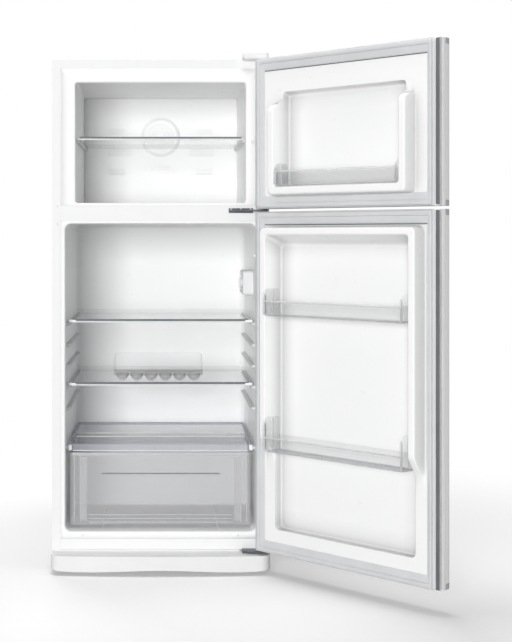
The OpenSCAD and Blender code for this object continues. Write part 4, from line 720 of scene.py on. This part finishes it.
def glass_shelf(prefix, z):
    """A tempered plate in a moulded frame: side strips, a rear stop and two white clips.

    At its front a smoked bumper lies over a white bead, both straight round-cornered bars.
    """
    plate = block((-297, 297), (79, 549), (z + 1.5, z + 5.5), 7, 0.7)
    piece(prefix + "_glass_form", plate, prefix, "shelf_glass", (prefix + "_glass",))
    stop_section = [(545, z + 0.5), (553.4, z + 0.5), (554, z + 1.2), (554, z + 16.8),
                    (552.4, z + 17.5), (551, z + 16.6), (550.4, z + 8), (545.4, z + 7)]
    stop = bar(stop_section, "x", -302, 302, 1.5)
    strips = side_blocks(293.5, 302, (80, 550), (z + 0.2, z + 7), 1.5, 0.9)
    piece(prefix + "_trim_form", merged(stop, *strips), prefix, "shelf_trim_plastic",
          (prefix + "_trim",))
    bumper = bar(ring(73.2, 85.6, z + 4.3, z + 11, 2.6, 5), "x", -289, 289, 1.2)
    piece(prefix + "_bumper", bumper, prefix, smoke_and_shade)
    bead = bar(ring(74, 85, z + 0.1, z + 4.4, 1.8, 4), "x", -289, 289, 1.0)
    clips = side_blocks(276, 302, (73, 91), (z, z + 9.4), 3.4, 1.6)
    piece(prefix + "_bead", merged(bead, *clips), prefix, bright_trim)


glass_shelf("upper_shelf", top_rail + rest_gap)
glass_shelf("lower_shelf", top_rail - 3 * rail_pitch + rest_gap)

# The freezer's shelf: a plate between a rear bar and side bars, with a bead and a bumper in front.
z = freezer_rail + rest_gap
plate = block((-262, 262), (50, 482), (z + 0.6, z + 4.2), 5, 0.7)
piece("freezer_shelf_plate", plate, "freezer_shelf", "shelf_glass", ("freezer_shelf",))
rear = bar(ring(477, 489, z, z + 14, 2.4, 4), "x", -272, 272, 1.4)
sides = side_blocks(261, 272, (46, 486), (z, z + 6), 2, 1.2)
piece("freezer_shelf_frame", merged(rear, *sides), "freezer_shelf", "shelf_trim_plastic")
bead = bar(ring(41, 52, z, z + 4.4, 1.9, 4), "x", -272, 272, 1.2)
piece("freezer_shelf_bead", bead, "freezer_shelf", bright_trim)
bumper = bar(ring(40.2, 51.4, z + 4.3, z + 9.9, 2.5, 5), "x", -264, 264, 1.2)
piece("freezer_shelf_bumper", bumper, "freezer_shelf", smoke_and_shade)

# ---------------------------------------------------------------- drawer and its cover

# The cover: a plate with two ribs, a fascia that hangs at its front, beads and two clips.
plate = block((-301, 301), (66, 576), (394, 397), 4, 0.9)
fascia_section = [(66.2, 374), (67, 373.2), (68.4, 373.4), (69, 374.4), (69, 395), (66.2, 395)]
fascia = bar(fascia_section, "x", -287, 287, 1.2)
piece("drawer_cover_form", merged(plate, fascia), "drawer_cover", "cover_plastic",
      ("drawer_cover",))
ribs = [block((-286, 286), (y, y + 5), (396.6, 399), 2, 0.9) for y in (218, 298)]
front_bead = bar(ring(65.8, 69.4, 372.8, 375.6, 1.2, 4), "x", -287, 287, 1.0)
piece("drawer_cover_ribs", merged(*ribs, front_bead), "drawer_cover", bright_trim)
side_beads = side_blocks(294, 301.8, (74, 572), (388.4, 396.4), 2.4, 1.6)
back_bead = bar(ring(570, 576, 388.6, 397.4, 2, 4), "x", -301, 301, 1.2)
piece("drawer_cover_beads", merged(*side_beads, back_bead), "drawer_cover", lilac_edge)
clips = side_blocks(290, 301.8, (64, 82), (375, 393), 3.5, 2)
piece("drawer_cover_clips", merged(*clips), "drawer_cover", bright_trim)


def tub(half, front, back, low, top, lean, wall, r, levels):
    """An open tub with a wall: rounded rectangles rise from a foot of radius r.

    The back leans by lean over the height; the inner wall comes down the same way.
    """
    t = np.linspace(0, np.pi / 2, 4)
    outer = [(r * (1 - np.sin(k)), low + r * (1 - np.cos(k))) for k in t]
    outer += [(0, h) for h in np.linspace(low + r, top, levels)[1:]]
    inner = [(wall, h) for h in np.linspace(top, low + r, levels)]
    inner += [(wall + (r - wall) * (1 - np.sin(k)), low + wall + (r - wall) * (1 - np.cos(k)))
              for k in t[::-1]]
    rows = []
    for inset, h in outer + [(0.4, top + 0.3), (wall - 0.4, top + 0.3)] + inner:
        slant = lean * (min(h, top) - low) / (top - low)
        flat = ring(-half + inset, half - inset, front + inset, back + slant - inset,
                    16 - inset * 0.4, 5)
        rows.append(at_height(flat, h))
    return lofted(rows)


drawer = tub(300, 45, 431, 130, 371, 44, 2.4, 11, 60)
piece("vegetable_drawer_form", drawer, "vegetable_drawer", drawer_clear, ("vegetable_drawer",),
      crease=60)
# Straight bars and blocks on the drawer: rim, groove lines, posts, foot ribs and side bands. The
# groove lines paint a finger groove that the front doesn't have: a dark line for the shade in it
# and a pale line under it, a painted highlight on its lower lip.
lip = side_blocks(297, 300, (60, 462), (362, 371), 1.2, 0.8)
rim = bar(ring(44.6, 50.5, 361, 371, 2.2, 4), "x", -287, 287, 1.2)
piece("drawer_rim", merged(rim, *lip), "vegetable_drawer", bead_clear)
# Painted shade: a dark line across the front for the shade in a finger groove.
groove = bar(ring(44.4, 47.4, 301.6, 305.0, 1.3, 4), "x", -193, 193, 1.2)
piece("drawer_groove", groove, "vegetable_drawer", smoke_and_shade)
posts = [bar(ring(s * x - 1.6, s * x + 1.6, 46.0, 49.2, 1.4, 4), "z", 146, 364, 1.0)
         for s in (-1, 1) for x in (262, 281)]
ribs = [bar(ring(47.2, 51.6, h - 1.5, h + 1.5, 1.3, 4), "x", -232, 232, 1.2)
        for h in (144, 156, 168)]
# Painted highlight: a pale line under the groove's painted shade, standing for its lit lower lip.
groove_lip_highlight = bar(ring(44.6, 47.6, 296.6, 299.0, 1.1, 4), "x", -193, 193, 1.2)
piece("drawer_beads", merged(*posts, *ribs, groove_lip_highlight), "vegetable_drawer", bead_clear)
bands = side_blocks(240, 262, (48.2, 49.4), (150, 356), 0.5, 0.4)
piece("drawer_bands", merged(*bands), "vegetable_drawer", drawer_clear)

# ---------------------------------------------------------------- egg tray


def cup(x, y, z, r):
    """A half ball of radius r below a point, open at its top, with a wall of two."""
    a = np.linspace(0, 2 * np.pi, 20, endpoint=False)
    b = np.linspace(0.08, np.pi / 2, 8)
    rows = []
    for k, angles in ((r, b), (r - 2, b[::-1])):
        for t in angles:
            circle = np.column_stack([x + k * np.sin(t) * np.cos(a), y + k * np.sin(t) * np.sin(a)])
            rows.append(at_height(circle, z - k * np.cos(t)))
    return lofted(rows)


tray_low = 592.1
tray_y = (138, 242)
deck = tray_low + 23
cups = [cup(-8 + (i - 2.5) * 48, 190 + row * 25, deck, 22.8) for i in range(6) for row in (-1, 1)]
# The tray's wall: round-cornered rectangles up the outside, over the rim and down the inside. The
# rim rises in a straight slope from the front to the back; its rows are (inset, height above it).
deck_rows = ((0.6, -2), (0, -1), (0, 8))
rim_rows = ((0, 0), (0.8, 0.9), (1.6, 0.9), (2.4, 0))
inner_rows = ((2.4, 8), (2.4, 1))
rows = []
for level in (deck_rows, rim_rows, inner_rows):
    for inset, above in level:
        flat = ring(-157 + inset, 141 - inset, tray_y[0] + inset, tray_y[1] - inset, 13 - inset, 5,
                    cuts=(0.1, 0.3, 0.5, 0.7, 0.9))
        along = np.clip((flat[:, 1] - tray_y[0]) / (tray_y[1] - tray_y[0]), 0, 1)
        slope = tray_low + 38 + 50 * along
        rows.append(at_height(flat, above + (slope if level is rim_rows else deck)))
rim = lofted(rows, ends=False)
piece("egg_tray_form", rim, "egg_tray", "clear_plastic", ("egg_tray",), crease=60)
piece("egg_tray_cups", merged(*cups), "egg_tray", drawer_clear, crease=60)
floor_sheet = block((-154, 138), (141, 239), (deck - 1.6, deck), 11, 0.5)
piece("egg_tray_deck", floor_sheet, "egg_tray", bin_clear)

# ---------------------------------------------------------------- door bins


def door_bin(node, body, half, z, d, end):
    """A clear door bin: a trough whose closed section is carried straight across the door.

    The section's foot has a small arc at the door and a larger one in front. The end plates are
    round-topped outlines of height end, each between two posts; a bead runs along the front edge.
    """
    y0, h = -29.0, 46.0
    front = y0 + d
    t = np.linspace(0, np.pi / 2, 6)
    outer = [(y0, z + h), (y0, z + 6)]
    outer += [(y0 + 6 - 6 * np.cos(k), z + 6 - 6 * np.sin(k)) for k in t[1:]]
    outer += [(front - 12 + 12 * np.sin(k), z + 12 - 12 * np.cos(k)) for k in t] + [(front, z + h)]
    inner = [(front - 2.2, z + h)]
    inner += [(front - 12 + 9.8 * np.sin(k), z + 12 - 9.8 * np.cos(k)) for k in t[::-1]]
    inner += [(y0 + 6 - 3.8 * np.cos(k), z + 6 - 3.8 * np.sin(k)) for k in t[::-1]]
    inner += [(y0 + 2.2, z + h)]
    trough = bar(outer + inner, "x", -half + 2, half - 2, 0.2)
    piece(node + "_form", trough, body, bin_clear, (node,), on_door=True, crease=50)
    ends, posts, lines = [], [], []
    for side in (-1, 1):
        k = np.linspace(0, np.pi / 2, 7)
        plate = [(y0, z + 5), (y0 + 5, z), (front - 12, z), (front - 3, z + 4), (front, z + 12),
                 (front, z + h)]
        plate += [(front - 22 + 22 * np.cos(q), z + end - 22 + 22 * np.sin(q)) for q in k]
        plate += [(y0 + 14 - 14 * np.sin(q), z + end - 14 + 14 * np.cos(q)) for q in k]
        ends.append(bar(plate, "x", *sorted((side * half, side * (half - 2.4))), 0.5))
        x = side * (half - 5.6)
        line = ring(x - 1, x + 1, front - 9.4, front - 7.2, 0.7, 3)
        lines.append(bar(line, "z", z + 7, z + end - 20, 0.8))
        x, y = side * (half - 3.2), y0 + d * 0.42
        post = ring(x - 3, x + 3, front - 7, front - 0.6, 2.4, 4)
        posts.append(bar(post, "z", z + 5, z + end - 14, 2))
        posts.append(bar(ring(x - 2.4, x + 2.4, y, y + 6, 2, 4), "z", z + 8, z + end - 3, 2))
    bead = bar(ring(front - 3.4, front + 0.6, z + h - 3.4, z + h + 2.4, 1.9, 4), "x", -half + 6,
               half - 6, 1)
    # Painted shade: a grey layer inside the trough's floor darkens the bin's bottom.
    foot = bar(ring(y0 + 8, front - 10, z + 0.2, z + 2.0, 0.8, 3), "x", -half + 6, half - 6, 1)
    for tail, part, look in (
        ("_free_end", ends[0], "shelf_glass"), ("_hinge_end", ends[1], bin_clear),
        ("_end_lines", merged(*lines), smoke_and_shade), ("_posts", merged(*posts, bead), post_clear),
        ("_foot", foot, floor_shade_clear),
    ):
        piece(node + tail, part, body, look, on_door=True, crease=50)


door_bin("fridge_door_upper_bin", "upper_bin", 264, 828, 81, 84)
door_bin("fridge_door_lower_bin", "lower_bin", 264, 404, 81, 106)
door_bin("freezer_door_bin", "freezer_door_bin", 231, 1232.3, 64, 71.4)

# ---------------------------------------------------------------- finger channels


def finger_channel(door):
    """The pale channel in a door's free edge: a C section with eased corners.

    A white lip, a straight round-cornered bar, stands in front of it.
    """
    lo, hi = closed_box(door + "_door_caps")
    t = np.linspace(0, np.pi / 2, 4)
    c = [(free_x, -14.1), (-330.6, -14.1), (-330.6, -32.5), (free_x, -32.5), (free_x, -31.4)]
    c += [(-334.6 + 2.4 * np.sin(k), -28.9 - 2.4 * np.cos(k)) for k in t]
    c += [(-334.6 + 2.4 * np.cos(k), -17.5 + 2.4 * np.sin(k)) for k in t] + [(free_x, -15.1)]
    channel = bar(c, "z", lo[2] + 0.2, hi[2] - 0.2, 0.3)
    piece(door + "_grip_form", channel, door + "_door", "grip_plastic", (door + "_door_grip",),
          on_door=True, crease=50)
    lip = bar(ring(free_x, -338, -41, -32.4, 1.6, 4), "z", lo[2], hi[2], 0.6)
    piece(door + "_grip_lip", lip, door + "_door", "white_steel", on_door=True, crease=50)


finger_channel("fridge")
finger_channel("freezer")

# ---------------------------------------------------------------- screws and plugs

screws = [disc((x, -3.0, 1163.4), (0, -1, 0), 3.4, 1.9) for x in (228, 259, 290)]
screws += [disc((x, y, 1648), (0, 0, 1), 5, 2.4) for x, y in ((284, 24), (322, 24), (303, 54))]
piece("hinge_screws", merged(*screws), "cabinet", "zinc_steel")
plugs = [disc((-332, -0.1, h), (0, -1, 0), 4.5, 0.55) for h in (1173.5, 1115.5)]
plugs += [disc((x, 0.4, 112), (0, -1, 0), 3.6, 1.0) for x in (-250, 250)]
piece("hole_plugs", merged(*plugs), "cabinet", "switch_plastic")
# A sheet behind the air panel's slots, and a flat ring behind the fan's grille.
backing = block((-236, 236), (507.9, 508.6), (1298, 1470), 3, 0.3)
a = np.linspace(0, 2 * np.pi, 40, endpoint=False)
fan_z = 1432
ring_rows = ((4, 495.2), (30, 495.0), (58, 496.4), (58, 498), (30, 497), (4, 497))  # radius, depth
shade = lofted([at_depth(np.column_stack([r * np.cos(a), fan_z + r * np.sin(a)]), y)
                for r, y in ring_rows])
piece("air_panel_backing", merged(backing, shade), "cabinet", vent_grey)
skirt = block((pin[0] - 66, pin[0] + 11), (pin[1] - 12, -1.5), (1642.8, 1646), 7, 0.6)
piece("hinge_cover_skirt", skirt, "cabinet", "white_steel")
ledge_section = [(-3.2, 60.6), (-3.2, 65.2), (-2.6, 65.9), (-0.9, 65.9), (-0.4, 65.2), (-0.4, 60.6)]
piece("plinth_ledge", bar(ledge_section, "x", -346, 255, 1.0), "cabinet", "plinth_plastic")

# ---------------------------------------------------------------- other forms from the frame

# Copies of frame nodes with their edges rounded by these widths.
for node, width in {
    "outer_shell": 0.35, "divider_bar": 0.4, "bottom_rail": 0.5, "base_frame": 0.6, "plinth": 0.8,
    "compressor_plate": 0.5, "drain_pan": 0.6, "air_panel": 0.7, "control_box": 1.0,
    "control_knob": 0.7, "top_hinge": 0.6, "top_hinge_cover": 1.5, "middle_hinge": 0.6,
    "bottom_hinge": 0.6, "freezer_door_skin": 0.3, "fridge_door_skin": 0.3,
    "freezer_door_caps": 1.0, "fridge_door_caps": 1.0, "start_relay": 1.5, "left_foot": 0.6,
    "right_foot": 0.6, "left_roller": 0.8, "right_roller": 0.8, "condenser_clips": 0.6, "fan": 0.4,
}.items():
    # The control box's copy takes the grey of painted shade.
    softened(node, width, box_sheet if node == "control_box" else None)
